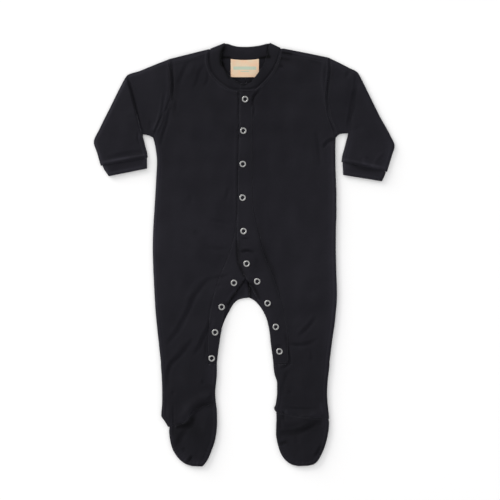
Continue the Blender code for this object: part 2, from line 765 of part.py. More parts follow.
def main():
    for old in list(bpy.data.objects):
        bpy.data.objects.remove(old, do_unlink=True)
    edges = body_edges()
    add_body(edges)
    add_plackets(edges)
    add_sleeves(edges)
    add_feet(edges)
    add_neckband()
    add_label()
    add_poppers()


main()
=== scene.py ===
"""Looks of a footed baby sleepsuit, fastened and laid flat on its back.

Shapes are worked out in millimetres in the pattern's frame: +Y points to the neck, +X to the
wearer's left, z is the height over the floor. They become metres, about the middle of the
garment, when a mesh is made. Left and right are the wearer's.

Every piece of cloth is a closed thin wall round a middle surface. The back lies on the floor,
the front lies on it with a little loft, and sleeves and cuffs are tubes pressed flat. Seams and
edges are smooth curves through the pattern's measurements.
"""

from __future__ import annotations

import logging
from dataclasses import dataclass, field, replace
from enum import Enum
from typing import Callable, Sequence

import bpy
import numpy as np
from numpy.typing import NDArray
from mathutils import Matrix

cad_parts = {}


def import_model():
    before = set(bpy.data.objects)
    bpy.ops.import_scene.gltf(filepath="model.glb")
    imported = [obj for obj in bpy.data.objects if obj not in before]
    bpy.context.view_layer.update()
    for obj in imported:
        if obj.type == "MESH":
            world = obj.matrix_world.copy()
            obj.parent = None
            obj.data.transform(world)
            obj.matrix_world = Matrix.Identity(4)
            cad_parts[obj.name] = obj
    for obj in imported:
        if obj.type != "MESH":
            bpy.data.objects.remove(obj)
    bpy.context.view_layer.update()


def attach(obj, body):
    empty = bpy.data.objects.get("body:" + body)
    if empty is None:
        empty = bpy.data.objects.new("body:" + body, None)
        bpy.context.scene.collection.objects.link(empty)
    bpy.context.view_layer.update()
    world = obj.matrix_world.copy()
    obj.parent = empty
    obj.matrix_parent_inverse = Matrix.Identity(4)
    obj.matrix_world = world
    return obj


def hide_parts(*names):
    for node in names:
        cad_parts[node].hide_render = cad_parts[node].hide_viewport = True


Array = NDArray[np.float64]
Indices = NDArray[np.int64]
Table = Sequence[Sequence[float]]
Socket = bpy.types.NodeSocket

LOG = logging.getLogger("sleepsuit")
BODY = "root"
CUT_MAP = "cut"
# Attribute of the cloth's tone: wear with painted sheen, painted light falloff, and painted shade
# and highlight strokes
WEAR_AND_PAINTED_LIGHT = "wear_and_painted_light"

MM = 0.001
MIDDLE = np.array([0.0, 0.8, 0.0])

# Cloth and its layers, in millimetres
WALL = 1.2
LAYER_GAP = 0.3
STEP = WALL + LAYER_GAP
BACK_MID = WALL / 2
FRONT_MID = BACK_MID + STEP
FOLD_MID = BACK_MID + STEP / 2
FOLD_RADIUS = STEP / 2
RIM_REACH = 0.45
SEAM_INSET = RIM_REACH + 0.03
RIM_ANGLES = (38.0, 90.0, 142.0)

# The sharpest corner that is mitred in full, as a cosine, in the flat and round a wall
FLAT_MITRE = -0.6
WALL_MITRE = -0.3

# Least drop between a panel's rows, a nudge off a stretch's end, and a guard for divisions
ROW_DROP = 0.012
NUDGE = 1e-6
TINY = 1e-9

# Loft of the front over the back
EDGE_LIFT = 0.8
EDGE_RUN = 7.0
BODY_LIFT = 1.9
BODY_RUN = 42.0
LAP_RUN = 25.0
LAP_FULL_Y = -40.0
LAP_END_Y = -82.0

SPACING = 2.1
UNDERARM_Y = 170.0
NECK_BASE_Y = 236.5
CENTRE_BACK_Y = 283.0
CROTCH_Y = -62.0
BAND_END_Y = -158.0

# Columns of the upper body: y, shoulder or armhole, neck seam
CHEST_RIGHT = (
    (298, -52.4, -49.4), (292, -76, -50.9), (286, -99.9, -51.8), (283.5, -109.8, -51.9),
    (280, -109, -51.7), (272, -107, -49.8), (264, -105.3, -46.2), (257, -104.6, -41),
    (250, -104, -33.5), (244, -104.1, -25.3), (240, -104.4, -17.4), (236.5, -104.7, -8.1),
)
CHEST_LEFT = (
    (299, 57.8, 52.4), (292, 93, 50.1), (286, 122.1, 48.3), (280, 122.6, 46.2), (272, 123.2, 43),
    (264, 122.8, 37.8), (257, 121.6, 32.5), (250, 120.5, 26.2), (244, 120.1, 20.6),
    (240, 119.8, 17), (236.5, 119.6, 14.6),
)

# Columns of the body: y, right armhole or side, seam and free edge of the right band, free
# edge and seam of the left band, left armhole or side
TORSO = (
    (236.5, -104.7, -8.1, 11.3, -6.1, 14.6, 119.6), (228, -106.5, -7.9, 11.3, -6.2, 13.8, 119),
    (216, -111.1, -7.7, 11.2, -6.4, 12.6, 120.4), (202, -118.5, -7.8, 11.1, -6.7, 12.3, 122.4),
    (186, -126.2, -8, 11.1, -7, 12, 128), (170, -131.9, -8.1, 11, -7.3, 11.7, 132.6),
    (155, -128.5, -8.3, 11, -7.6, 11.8, 132.1), (135, -126.4, -8.6, 11, -8, 11.8, 132.2),
    (110, -127.6, -8.9, 11, -8.6, 11.8, 132.9), (85, -129, -9.4, 11, -9.1, 12, 133.7),
    (60, -130.6, -10.8, 11.2, -9.6, 15.1, 133.7), (36, -132, -13.5, 11.6, -10.2, 20.1, 133),
    (10, -132.6, -19.1, 10.7, -10.4, 27.2, 132.8), (-10, -132.2, -27, 8.4, -8.5, 34.3, 133.2),
    (-26, -131.6, -33.7, 4.2, -2.1, 41.2, 133.6), (-40, -130.9, -38.8, -2.2, 6.1, 46.2, 134.2),
    (-54, -130.2, -43.2, -11.2, 13.7, 50.5, 134.5), (-68, -129.4, -47, -21.1, 21.3, 54.2, 134.2),
    (-82, -128.5, -49.8, -27.7, 28.2, 57.7, 133), (-96, -127.2, -51.4, -30.6, 33.4, 61.2, 131.6),
    (-112, -125.6, -52.6, -33.4, 36.7, 63.8, 129.4),
    (-128, -123.8, -53.1, -36, 38.4, 64.5, 127.1),
    (-144, -122.1, -53.2, -38.1, 40.6, 64.4, 125.1),
    (-158, -120.8, -53.2, -39.6, 42.2, 64.2, 123.6),
)

# Columns of the closed lower legs: y, outer side, inner side or ankle seam
SHIN_RIGHT = (
    (-158.6, -120.8, -39.6), (-172, -119.9, -39.6), (-186, -119.2, -40.8), (-200, -118.9, -42),
    (-212, -118.9, -41.2), (-217, -119, -53.9), (-221.5, -119.4, -65.5), (-226, -119.9, -74.2),
    (-233, -120.2, -80), (-241, -115.2, -87.3), (-246, -112.2, -98.9), (-249, -110.6, -108),
)
SHIN_LEFT = (
    (-158.6, 123.6, 42.2), (-172, 122.2, 43.8), (-186, 120.8, 47.6), (-200, 120.2, 47.6),
    (-212, 120.7, 46.3), (-217, 121.2, 45.5), (-222.5, 121.7, 43.2), (-228, 122.3, 46.5),
    (-230, 122.5, 59.2), (-232.5, 122.8, 73.7), (-235, 123, 89.6), (-236.5, 123, 105.6),
    (-238, 123, 121.8),
)

# Columns of the back's inner edge: y, x. Neck seam, centre seam, arch between the legs
BACK_EDGE_RIGHT = (
    (298, -49.4), (293, -40.9), (288, -28.6), (284.1, -14.1), (283, 2.2), (150, 4.3), (22, 6.1),
    (-62, 7.3), (-63, -1.7), (-66.3, -10.6), (-82, -21.8), (-96, -28.8), (-112, -33.8),
    (-128, -35.8), (-144, -38.2), (-158, -39.6),
)
BACK_EDGE_LEFT = (
    (299, 52.4), (295.7, 46.1), (288.7, 34.5), (284.3, 20), (283, 2.2), (150, 4.3), (22, 6.1),
    (-62, 7.3), (-65.8, 14.2), (-68, 16.9), (-82, 27.5), (-96, 33.6), (-112, 37.1), (-128, 38.4),
    (-144, 40.6), (-158, 42.2),
)

# Columns of the sleeves, from the armhole to the cuff: top fold x, y, underarm edge x, y
SLEEVE_RIGHT = (
    (-129.3, 275.6, -137.3, 172.5), (-151.1, 266.7, -143, 173.9), (-168.9, 260.4, -147.4, 174.4),
    (-171.2, 257.5, -146.9, 173.4), (-179.4, 242.7, -146.6, 170.2),
    (-193.9, 213.7, -145.3, 165.2), (-209.8, 181.8, -143.8, 159.4), (-217.8, 163, -142.4, 154.3),
    (-213.4, 148.5, -140.7, 148), (-207.9, 129.2, -139.8, 141.1),
)
SLEEVE_LEFT = (
    (138.9, 277.7, 138.2, 174.7), (152, 271, 144.7, 175.6), (163, 265.2, 150.9, 176.2),
    (170.2, 252.9, 150.4, 173.1), (181.8, 229.7, 149.5, 169.8), (196.2, 200.7, 148, 165.2),
    (211.4, 173.1, 146.4, 159.4), (217.8, 157.5, 144.7, 152.8), (214.3, 144.9, 142.2, 144.1),
    (207, 120.4, 140.9, 134.6),
)
CUFF_RIGHT = (
    (-205.6, 129.6, -141, 140.9), (-203, 124, -140.8, 136), (-200.2, 119.8, -140.8, 131.5),
    (-196.3, 114, -140.7, 125.1),
)
CUFF_LEFT = (
    (205, 120.8, 142.4, 134.3), (204.4, 117.4, 142.6, 130.4), (202.8, 113.5, 143, 124.5),
    (199.7, 106.6, 143.3, 115.9),
)

# Columns of the feet, from the ankle to the toes: outer x, y, inner x, y
FOOT_RIGHT = (
    (-108.9, -256, -39.5, -228), (-108.2, -263, -39.2, -243), (-106.8, -271.5, -40.3, -257.5),
    (-103.8, -281.5, -42.8, -270.8), (-98.9, -290, -46.6, -281.8), (-92.1, -297.9, -50.7, -292),
    (-84.2, -303.2, -54.7, -300), (-75.5, -306, -60.2, -306.6),
)
FOOT_LEFT = (
    (123.1, -242.5, 46.7, -236), (122.8, -249.5, 46.3, -247), (121.4, -259.7, 46.1, -259),
    (119.2, -269.8, 47.4, -269.1), (116, -280, 50.3, -280.7), (111.6, -289.9, 54.8, -291),
    (106.7, -298.3, 60.9, -298.4), (100.6, -303.5, 68.3, -303.5), (92.5, -305.6, 78, -306.1),
)

# Columns of the neckband: seam x, y, finished edge x, y
BAND_LEFT_FRONT = (
    (-5.8, 236.5, -5.2, 249), (4.8, 236.5, 3.8, 248.4), (14.6, 236.5, 11.3, 250.8),
    (17, 240, 12.9, 253.6), (20.6, 244, 15.4, 257.3), (26.2, 250, 19.3, 262.4),
    (32.5, 257, 23.4, 268.2), (37.8, 264, 27, 273.2), (43, 272, 29.9, 279.7),
    (46.2, 280, 31.6, 286), (48.3, 286, 32.9, 291), (50.1, 292, 34.5, 297.5),
)
BAND_LEFT_FOLD = (52.8, 300.1, 37.4, 307.5)
BAND_BACK = (
    (46.1, 295.7, 32.8, 305.9), (34.5, 288.7, 24.4, 303.9), (20, 284.3, 14.2, 302.3),
    (2.2, 283, 2.6, 301.5), (-14.1, 284.1, -8.3, 301.9), (-28.6, 288, -17.7, 303.9),
    (-40.9, 293, -24.2, 305.9),
)
BAND_RIGHT_FOLD = (-49.4, 299.0, -28.4, 307.3)
BAND_RIGHT_FRONT = (
    (-50.9, 292, -31, 298.5), (-51.8, 286, -32.3, 293.3), (-51.9, 283.5, -32.9, 291),
    (-51.7, 280, -33.4, 287.7), (-49.8, 272, -33.2, 280), (-46.2, 264, -31, 272.5),
    (-41, 257, -27.5, 266.5), (-33.5, 250, -22, 260.5), (-25.3, 244, -16.3, 255),
    (-17.4, 240, -10, 251.2), (-8.1, 236.5, -4, 248.8), (4.8, 236.5, 4.6, 247.8),
    (12.8, 236.5, 10.7, 249.6),
)


class Side(Enum):
    """The wearer's right or left."""

    RIGHT = "right"
    LEFT = "left"


class Slot(Enum):
    """The garment's material slots."""

    JERSEY = "jersey"
    RIB = "rib"
    LABEL = "label"
    METAL = "popper_metal"


class Lie(Enum):
    """How a fold lies: a soft line, or a step that is high on one side of it."""

    SOFT = 0
    HIGH_ON_RIGHT = -1


POPPER_ROWS: dict[str, tuple[tuple[float, float], ...]] = {
    "centre": (
        (1.3, 225.3), (-1.3, 179.7), (-2.0, 131.5), (-2.3, 82.8), (-1.0, 34.4), (3.5, -12.6),
    ),
    "right_leg": ((-14.9, -40.5), (-32.6, -75.5), (-42.2, -112.2), (-47.0, -149.9)),
    "left_leg": ((18.8, -38.4), (33.8, -70.0), (45.7, -104.3), (51.0, -139.8)),
}
SHOULDER_STITCHES = {
    Side.RIGHT: ((-106.0, 276.8), (-88.0, 280.0), (-56.0, 288.6)),
    Side.LEFT: ((118.0, 278.6), (95.0, 283.8), (58.0, 291.6)),
}


def eased(value: Array) -> Array:
    """A smooth rise from 0 to 1 as value goes from 0 to 1: 3v^2 - 2v^3."""
    value = np.clip(value, 0.0, 1.0)
    return value * value * (3.0 - 2.0 * value)


def bell(value: Array) -> Array:
    """A bell of height 1 round 0: e to the power of minus value squared."""
    return np.exp(-(value**2))


def fair(at: Array, knots: Array, values: Array) -> Array:
    """A smooth curve through measured values that never overshoots them.

    Between two knots it is a cubic. Its slope at a knot is the weighted harmonic mean of the
    straight slopes on both sides, and zero where they differ in sign.

    Args:
        at: Places to read the curve at.
        knots: Rising places of the measurements.
        values: One row of measurements for each knot.

    Returns:
        One row of values for each place.
    """
    shape = values.shape[1:]
    values = values.reshape(len(knots), -1)
    step = np.diff(knots)[:, None]
    slope = np.diff(values, axis=0) / step
    before, after = slope[:-1], slope[1:]
    weight_before = 2.0 * step[1:] + step[:-1]
    weight_after = step[1:] + 2.0 * step[:-1]
    same_way = before * after > 0.0
    mean = (weight_before + weight_after) / (
        weight_before / np.where(same_way, before, 1.0)
        + weight_after / np.where(same_way, after, 1.0)
    )
    tangent = np.concatenate([slope[:1], np.where(same_way, mean, 0.0), slope[-1:]])
    place = np.clip(np.searchsorted(knots, at, side="right") - 1, 0, len(knots) - 2)
    t = ((at - knots[place]) / step[place, 0])[:, None]
    rise = step[place]
    made = (2 * t**3 - 3 * t**2 + 1) * values[place]
    made += (t**3 - 2 * t**2 + t) * rise * tangent[place]
    made += (3 * t**2 - 2 * t**3) * values[place + 1]
    made += (t**3 - t**2) * rise * tangent[place + 1]
    return made.reshape(len(at), *shape)


def run_along(points: Array) -> Array:
    """Length along a line of points up to each of them."""
    steps = np.linalg.norm(np.diff(points, axis=0), axis=1)
    return np.concatenate([[0.0], np.cumsum(steps)])


def trace(points: Table | Array, spacing: float = SPACING) -> Array:
    """A smooth line through measured points, with points about a spacing apart.

    Args:
        points: Measured points.
        spacing: Distance between the made points.

    Returns:
        The made points.
    """
    points = np.asarray(points, dtype=float)
    run = run_along(points)
    count = max(2, int(np.ceil(run[-1] / spacing)) + 1)
    return fair(np.linspace(0.0, run[-1], count), run, points)


def resampled(points: Array, at: Array) -> Array:
    """A line of points read at lengths along it.

    Args:
        points: The line.
        at: Lengths along it.

    Returns:
        One point for each length.
    """
    run = run_along(points)
    return np.stack([np.interp(at, run, column) for column in points.T], axis=1)


def moved_aside(points: Array, distance: float) -> Array:
    """A line in the plane moved to its left by a distance, square to its own direction.

    Args:
        points: The line.
        distance: How far it moves.

    Returns:
        The moved line.
    """
    along = np.gradient(points, axis=0)
    along /= np.maximum(np.linalg.norm(along, axis=1, keepdims=True), TINY)
    return points + distance * np.stack([-along[:, 1], along[:, 0]], axis=1)


def crowded(count: int, crowding: float = 0.5) -> Array:
    """Shares from 0 to 1 that stand closer at both ends: a mix of even and cosine steps.

    Args:
        count: Number of shares.
        crowding: How much of the cosine is mixed in.

    Returns:
        The rising shares.
    """
    even = np.linspace(0.0, 1.0, count)
    return (1.0 - crowding) * even + crowding * 0.5 * (1.0 - np.cos(np.pi * even))


@dataclass(frozen=True)
class Line:
    """A line of points in the plane, for distances to it."""

    points: Array

    def nearest(self, xy: Array) -> tuple[Array, Array, Array]:
        """Finds the nearest place of the line for each point.

        Args:
            xy: Points in the plane.

        Returns:
            Distance to the line, that distance with its sign (plus on the left of the line),
            and the run along the line to the nearest place.
        """
        start = self.points[:-1]
        along = np.diff(self.points, axis=0)
        square = np.maximum((along**2).sum(axis=1), TINY)
        run = run_along(self.points)
        found = []
        for block in np.array_split(xy, max(1, len(xy) * len(start) // 1_500_000)):
            offset = block[:, None, :] - start
            share = np.clip((offset * along).sum(axis=2) / square, 0.0, 1.0)
            gap = offset - share[:, :, None] * along
            distance = np.sqrt((gap**2).sum(axis=2))
            best = distance.argmin(axis=1)
            row = np.arange(len(block))
            cross = along[best, 0] * gap[row, best, 1] - along[best, 1] * gap[row, best, 0]
            length = np.sqrt(square[best])
            near = distance[row, best]
            found.append(
                np.stack([near, near * np.sign(cross), run[best] + share[row, best] * length])
            )
        return tuple(np.concatenate(found, axis=1))


@dataclass(frozen=True)
class Edge:
    """A long edge of a panel, from the neck down. Each stretch is a table of y and x, smooth
    inside, and the edge may turn a corner where two stretches meet."""

    stretches: tuple[Array, ...]

    def x(self, y: Array) -> Array:
        """The edge's x at each height.

        Args:
            y: Heights.

        Returns:
            One x for each height.
        """
        made = np.zeros_like(y)
        for table in self.stretches:
            rising = table[::-1]
            inside = (y >= rising[0, 0] - TINY) & (y <= rising[-1, 0] + TINY)
            made[inside] = fair(y[inside], rising[:, 0], rising[:, 1:])[:, 0]
        return made

    @property
    def corners(self) -> Array:
        """Heights of the ends of all stretches, from the top down."""
        ends = [table[[0, -1], 0] for table in self.stretches]
        return np.unique(np.concatenate(ends))[::-1]

    def between(self, top: float, bottom: float, spacing: float = SPACING) -> Array:
        """The edge as x and y points from one height down to another.

        Args:
            top: Height to start at.
            bottom: Height to end at.
            spacing: Distance between the points.

        Returns:
            Points in the plane.
        """
        levels = self.corners
        levels = levels[(levels < top) & (levels > bottom)]
        levels = np.concatenate([[top], levels, [bottom]])
        parts = []
        for high, low in zip(levels[:-1], levels[1:]):
            y = np.linspace(high, low, 60)
            x = self.x(np.clip(y, low + NUDGE, high - NUDGE))
            fine = np.stack([x, y], axis=1)
            run = run_along(fine)
            count = max(2, int(np.ceil(run[-1] / spacing)) + 1)
            parts.append(resampled(fine, np.linspace(0.0, run[-1], count)))
        return np.concatenate(parts)


def level_grid(left: Edge, right: Edge, columns: int, spacing: float = SPACING) -> Array:
    """A grid between two edges whose rows are level.

    Rows are closer where an edge runs flat, so that points along it stay a spacing apart, and
    every corner of either edge has a row. Columns crowd towards both edges.

    Args:
        left: One edge.
        right: The other edge.
        columns: Number of columns.
        spacing: Distance between points along the edges.

    Returns:
        Points in the plane, rows by columns.
    """
    corners = np.union1d(left.corners, right.corners)[::-1]
    corners = corners[np.concatenate([[True], -np.diff(corners) > 0.55])]
    levels = [corners[:1]]
    for high, low in zip(corners[:-1], corners[1:]):
        y = np.linspace(high, low, 80)
        inner = np.clip(y, low + NUDGE, high - NUDGE)
        runs = [run_along(np.stack([edge.x(inner), y], axis=1)) for edge in (left, right)]
        run = np.maximum(*runs)
        count = max(1, int(np.ceil(run[-1] / spacing)))
        levels.append(np.interp(np.linspace(0.0, run[-1], count + 1)[1:], run, y))
    y = np.concatenate(levels)
    inner = np.clip(y, corners[-1] + NUDGE, corners[0] - NUDGE)
    across = left.x(inner)[:, None] + (right.x(inner) - left.x(inner))[:, None] * crowded(columns)
    return np.stack([across, np.repeat(y[:, None], columns, axis=1)], axis=2)


def ruled_grid(first_row: Array, sections: Array, shares: Array, spacing: float) -> Array:
    """A grid from a seam across a set of straight sections, smooth from row to row.

    Args:
        first_row: The seam as a line of points.
        sections: Rows of start x, y and end x, y.
        shares: Places across, from 0 to 1, one row for the seam and one for each section.
        spacing: Distance between the made rows.

    Returns:
        Points in the plane, rows by columns.
    """
    run = run_along(first_row)
    seam = resampled(first_row, shares[0] * run[-1])
    starts, ends = sections[:, None, :2], sections[:, None, 2:]
    rest = starts + (ends - starts) * shares[1:, :, None]
    control = np.concatenate([seam[None], rest])
    gaps = np.linalg.norm(np.diff(control, axis=0), axis=2)
    knots = np.concatenate([[0.0], np.cumsum(gaps.mean(axis=1))])
    longest = gaps.sum(axis=0).max()
    count = int(np.ceil(longest / spacing)) + 1
    return fair(np.linspace(0.0, knots[-1], count), knots, control)


def facing_up(grid: Array) -> Array:
    """The grid with its columns reversed if its faces would look down.

    Args:
        grid: Points in the plane.

    Returns:
        The grid or its mirror image.
    """
    down = grid[-1] - grid[0]
    across = grid[:, -1] - grid[:, 0]
    turn = down[:, 0].mean() * across[:, 1].mean() - down[:, 1].mean() * across[:, 0].mean()
    return grid if turn > 0 else grid[:, ::-1]


def rim_of(rows: int, cols: int) -> Indices:
    """The grid's rim as row and column pairs, down the first column and round.

    Args:
        rows: Number of rows.
        cols: Number of columns.

    Returns:
        One pair for each rim point.
    """
    down, right = np.arange(rows), np.arange(1, cols)
    return np.concatenate(
        [
            np.stack([down, np.zeros(rows, int)], axis=1),
            np.stack([np.full(cols - 1, rows - 1), right], axis=1),
            np.stack([down[-2::-1], np.full(rows - 1, cols - 1)], axis=1),
            np.stack([np.zeros(cols - 2, int), right[-2::-1]], axis=1),
        ]
    )


def in_order(grid: Array) -> Array:
    """The grid with every row a little below the last, its first and last rows staying put.

    Args:
        grid: Points in the plane.

    Returns:
        The grid with its heights put in order.
    """
    drop = ROW_DROP * np.arange(len(grid))[:, None]
    y = grid[..., 1] + drop
    half = len(grid) // 2
    upper = np.minimum.accumulate(y[:half])
    lower = np.maximum.accumulate(y[half:][::-1])[::-1]
    return np.dstack([grid[..., 0], np.concatenate([upper, lower]) - drop])


def drawn_in(grid: Array, amount: float, tips: bool = False) -> Array:
    """The flat grid with its rim moved inwards, and the rest eased after it.

    Each rim point moves along the mitre of its two rim edges. Inside, the shift is the
    bilinear blend of the four sides' shifts, less the bilinear blend of the corners' shifts.
    Where the end rows are short tips, every row follows its two ends alone.

    Args:
        grid: Points in the plane, facing up.
        amount: How far the rim moves.
        tips: Whether the first and the last row are short tips.

    Returns:
        The smaller grid.
    """
    rows, cols = grid.shape[:2]
    rim = rim_of(rows, cols)
    ring = grid[rim[:, 0], rim[:, 1]]
    edge = np.roll(ring, -1, axis=0) - ring
    edge /= np.maximum(np.linalg.norm(edge, axis=1, keepdims=True), TINY)
    normal = np.stack([-edge[:, 1], edge[:, 0]], axis=1)
    before = np.roll(normal, 1, axis=0)
    cosine = np.clip((normal * before).sum(axis=1), FLAT_MITRE, 1.0)
    shift = np.zeros_like(grid)
    shift[rim[:, 0], rim[:, 1]] = amount * (normal + before) / (1.0 + cosine)[:, None]
    v = np.linspace(0.0, 1.0, rows)[:, None, None]
    u = np.linspace(0.0, 1.0, cols)[None, :, None]
    if tips:
        return in_order(grid + (1 - u) * shift[:, :1] + u * shift[:, -1:])
    sides = (1 - v) * shift[:1] + v * shift[-1:] + (1 - u) * shift[:, :1] + u * shift[:, -1:]
    corners = (1 - v) * ((1 - u) * shift[:1, :1] + u * shift[:1, -1:])
    corners = corners + v * ((1 - u) * shift[-1:, :1] + u * shift[-1:, -1:])
    return grid + sides - corners


def flat_area(grid: Array) -> float:
    """Area of a flat grid of four-sided cells.

    Args:
        grid: Points in the plane.

    Returns:
        The area.
    """
    diagonal = grid[1:, 1:] - grid[:-1, :-1]
    other = grid[1:, :-1] - grid[:-1, 1:]
    cross = diagonal[..., 0] * other[..., 1] - diagonal[..., 1] * other[..., 0]
    return float(np.abs(cross).sum() / 2)


@dataclass(frozen=True)
class Form:
    """A closed mesh in millimetres: its points, its four-sided faces and the place of each
    face corner in the flat cut."""

    points: Array
    quads: Indices
    chart: Array

    def to_object(self, name: str, material: bpy.types.Material) -> bpy.types.Object:
        """Makes the form a smooth mesh object at the origin.

        Args:
            name: Name of the piece.
            material: Its finish.

        Returns:
            The new object.
        """
        mesh = bpy.data.meshes.new(name)
        count = len(self.quads)
        mesh.vertices.add(len(self.points))
        place = (self.points - MIDDLE) * MM
        mesh.vertices.foreach_set("co", place.astype(np.float32).ravel())
        mesh.loops.add(4 * count)
        mesh.loops.foreach_set("vertex_index", self.quads.astype(np.int32).ravel())
        mesh.polygons.add(count)
        mesh.polygons.foreach_set("loop_start", np.arange(0, 4 * count, 4, dtype=np.int32))
        mesh.update(calc_edges=True)
        chart = mesh.uv_layers.new(name=CUT_MAP)
        chart.data.foreach_set("uv", (self.chart * MM).astype(np.float32).ravel())
        mesh.shade_smooth()
        mesh.materials.append(material)
        made = bpy.data.objects.new(name, mesh)
        bpy.context.scene.collection.objects.link(made)
        return made


def wall(middle: Array, chart: Array, tube: bool = False, thickness: float = WALL) -> Form:
    """A closed wall of cloth with rounded rims round a grid of middle points.

    Both skins stand half the thickness off the middle along its normal, the cross product of
    the grid's two directions. Each rim is half an ellipse: half the thickness high, and
    RIM_REACH wide along the tangent's cross product with the normal.

    Args:
        middle: Points, rows by columns, facing outwards.
        chart: Place of each point in the flat cut. A tube's has one more column.
        tube: Whether the last column joins the first.
        thickness: Thickness of the wall.

    Returns:
        The closed form.
    """
    rows, cols = middle.shape[:2]
    down = np.gradient(middle, axis=0)
    if tube:
        across = (np.roll(middle, -1, axis=1) - np.roll(middle, 1, axis=1)) / 2
    else:
        across = np.gradient(middle, axis=1)
    normal = np.cross(down, across)
    normal /= np.maximum(np.linalg.norm(normal, axis=2, keepdims=True), 1e-12)
    half = thickness / 2
    spot = np.arange(rows * cols).reshape(rows, cols)
    mark = np.arange(chart.shape[0] * chart.shape[1]).reshape(chart.shape[:2])
    if tube:
        spot = np.concatenate([spot, spot[:, :1]], axis=1)
    points = [(middle + half * normal).reshape(-1, 3), (middle - half * normal).reshape(-1, 3)]

    def cells(grid: Indices) -> Indices:
        """The grid's cells as four corners each, facing outwards."""
        corners = [grid[:-1, :-1], grid[1:, :-1], grid[1:, 1:], grid[:-1, 1:]]
        return np.stack(corners, axis=-1).reshape(-1, 4)

    faces = [cells(spot), cells(spot)[:, ::-1] + rows * cols]
    marks = [cells(mark), cells(mark)[:, ::-1]]
    if tube:
        last, first = np.arange(cols + 1), np.arange(cols, -1, -1)
        rings = [(np.full(cols + 1, rows - 1), last), (np.zeros(cols + 1, int), first)]
    else:
        rim = rim_of(rows, cols)
        rim = np.concatenate([rim, rim[:1]])
        rings = [(rim[:, 0], rim[:, 1])]
    total = 2 * rows * cols
    for row, column in rings:
        base = spot[row, column]
        place = middle.reshape(-1, 3)[base]
        up = normal.reshape(-1, 3)[base[:-1]]
        step = np.diff(place, axis=0)
        step /= np.maximum(np.linalg.norm(step, axis=1, keepdims=True), TINY)
        out = np.cross(step, up)
        before = np.roll(out, 1, axis=0)
        cosine = np.clip((out * before).sum(axis=1, keepdims=True), WALL_MITRE, 1.0)
        out = (out + before) / (1.0 + cosine)
        loops = [base]
        for angle in np.radians(RIM_ANGLES):
            reach = place[:-1] + RIM_REACH * np.sin(angle) * out
            points.append(reach + half * np.cos(angle) * up)
            loop = total + np.arange(len(out))
            loops.append(np.append(loop, loop[0]))
            total += len(out)
        loops.append(base + rows * cols)
        ring = np.stack(loops)
        ring_mark = np.broadcast_to(mark[row, column], ring.shape)
        faces.append(cells(ring))
        marks.append(cells(ring_mark))
    places = chart.reshape(-1, 2)[np.concatenate(marks)]
    return Form(np.concatenate(points), np.concatenate(faces), places)


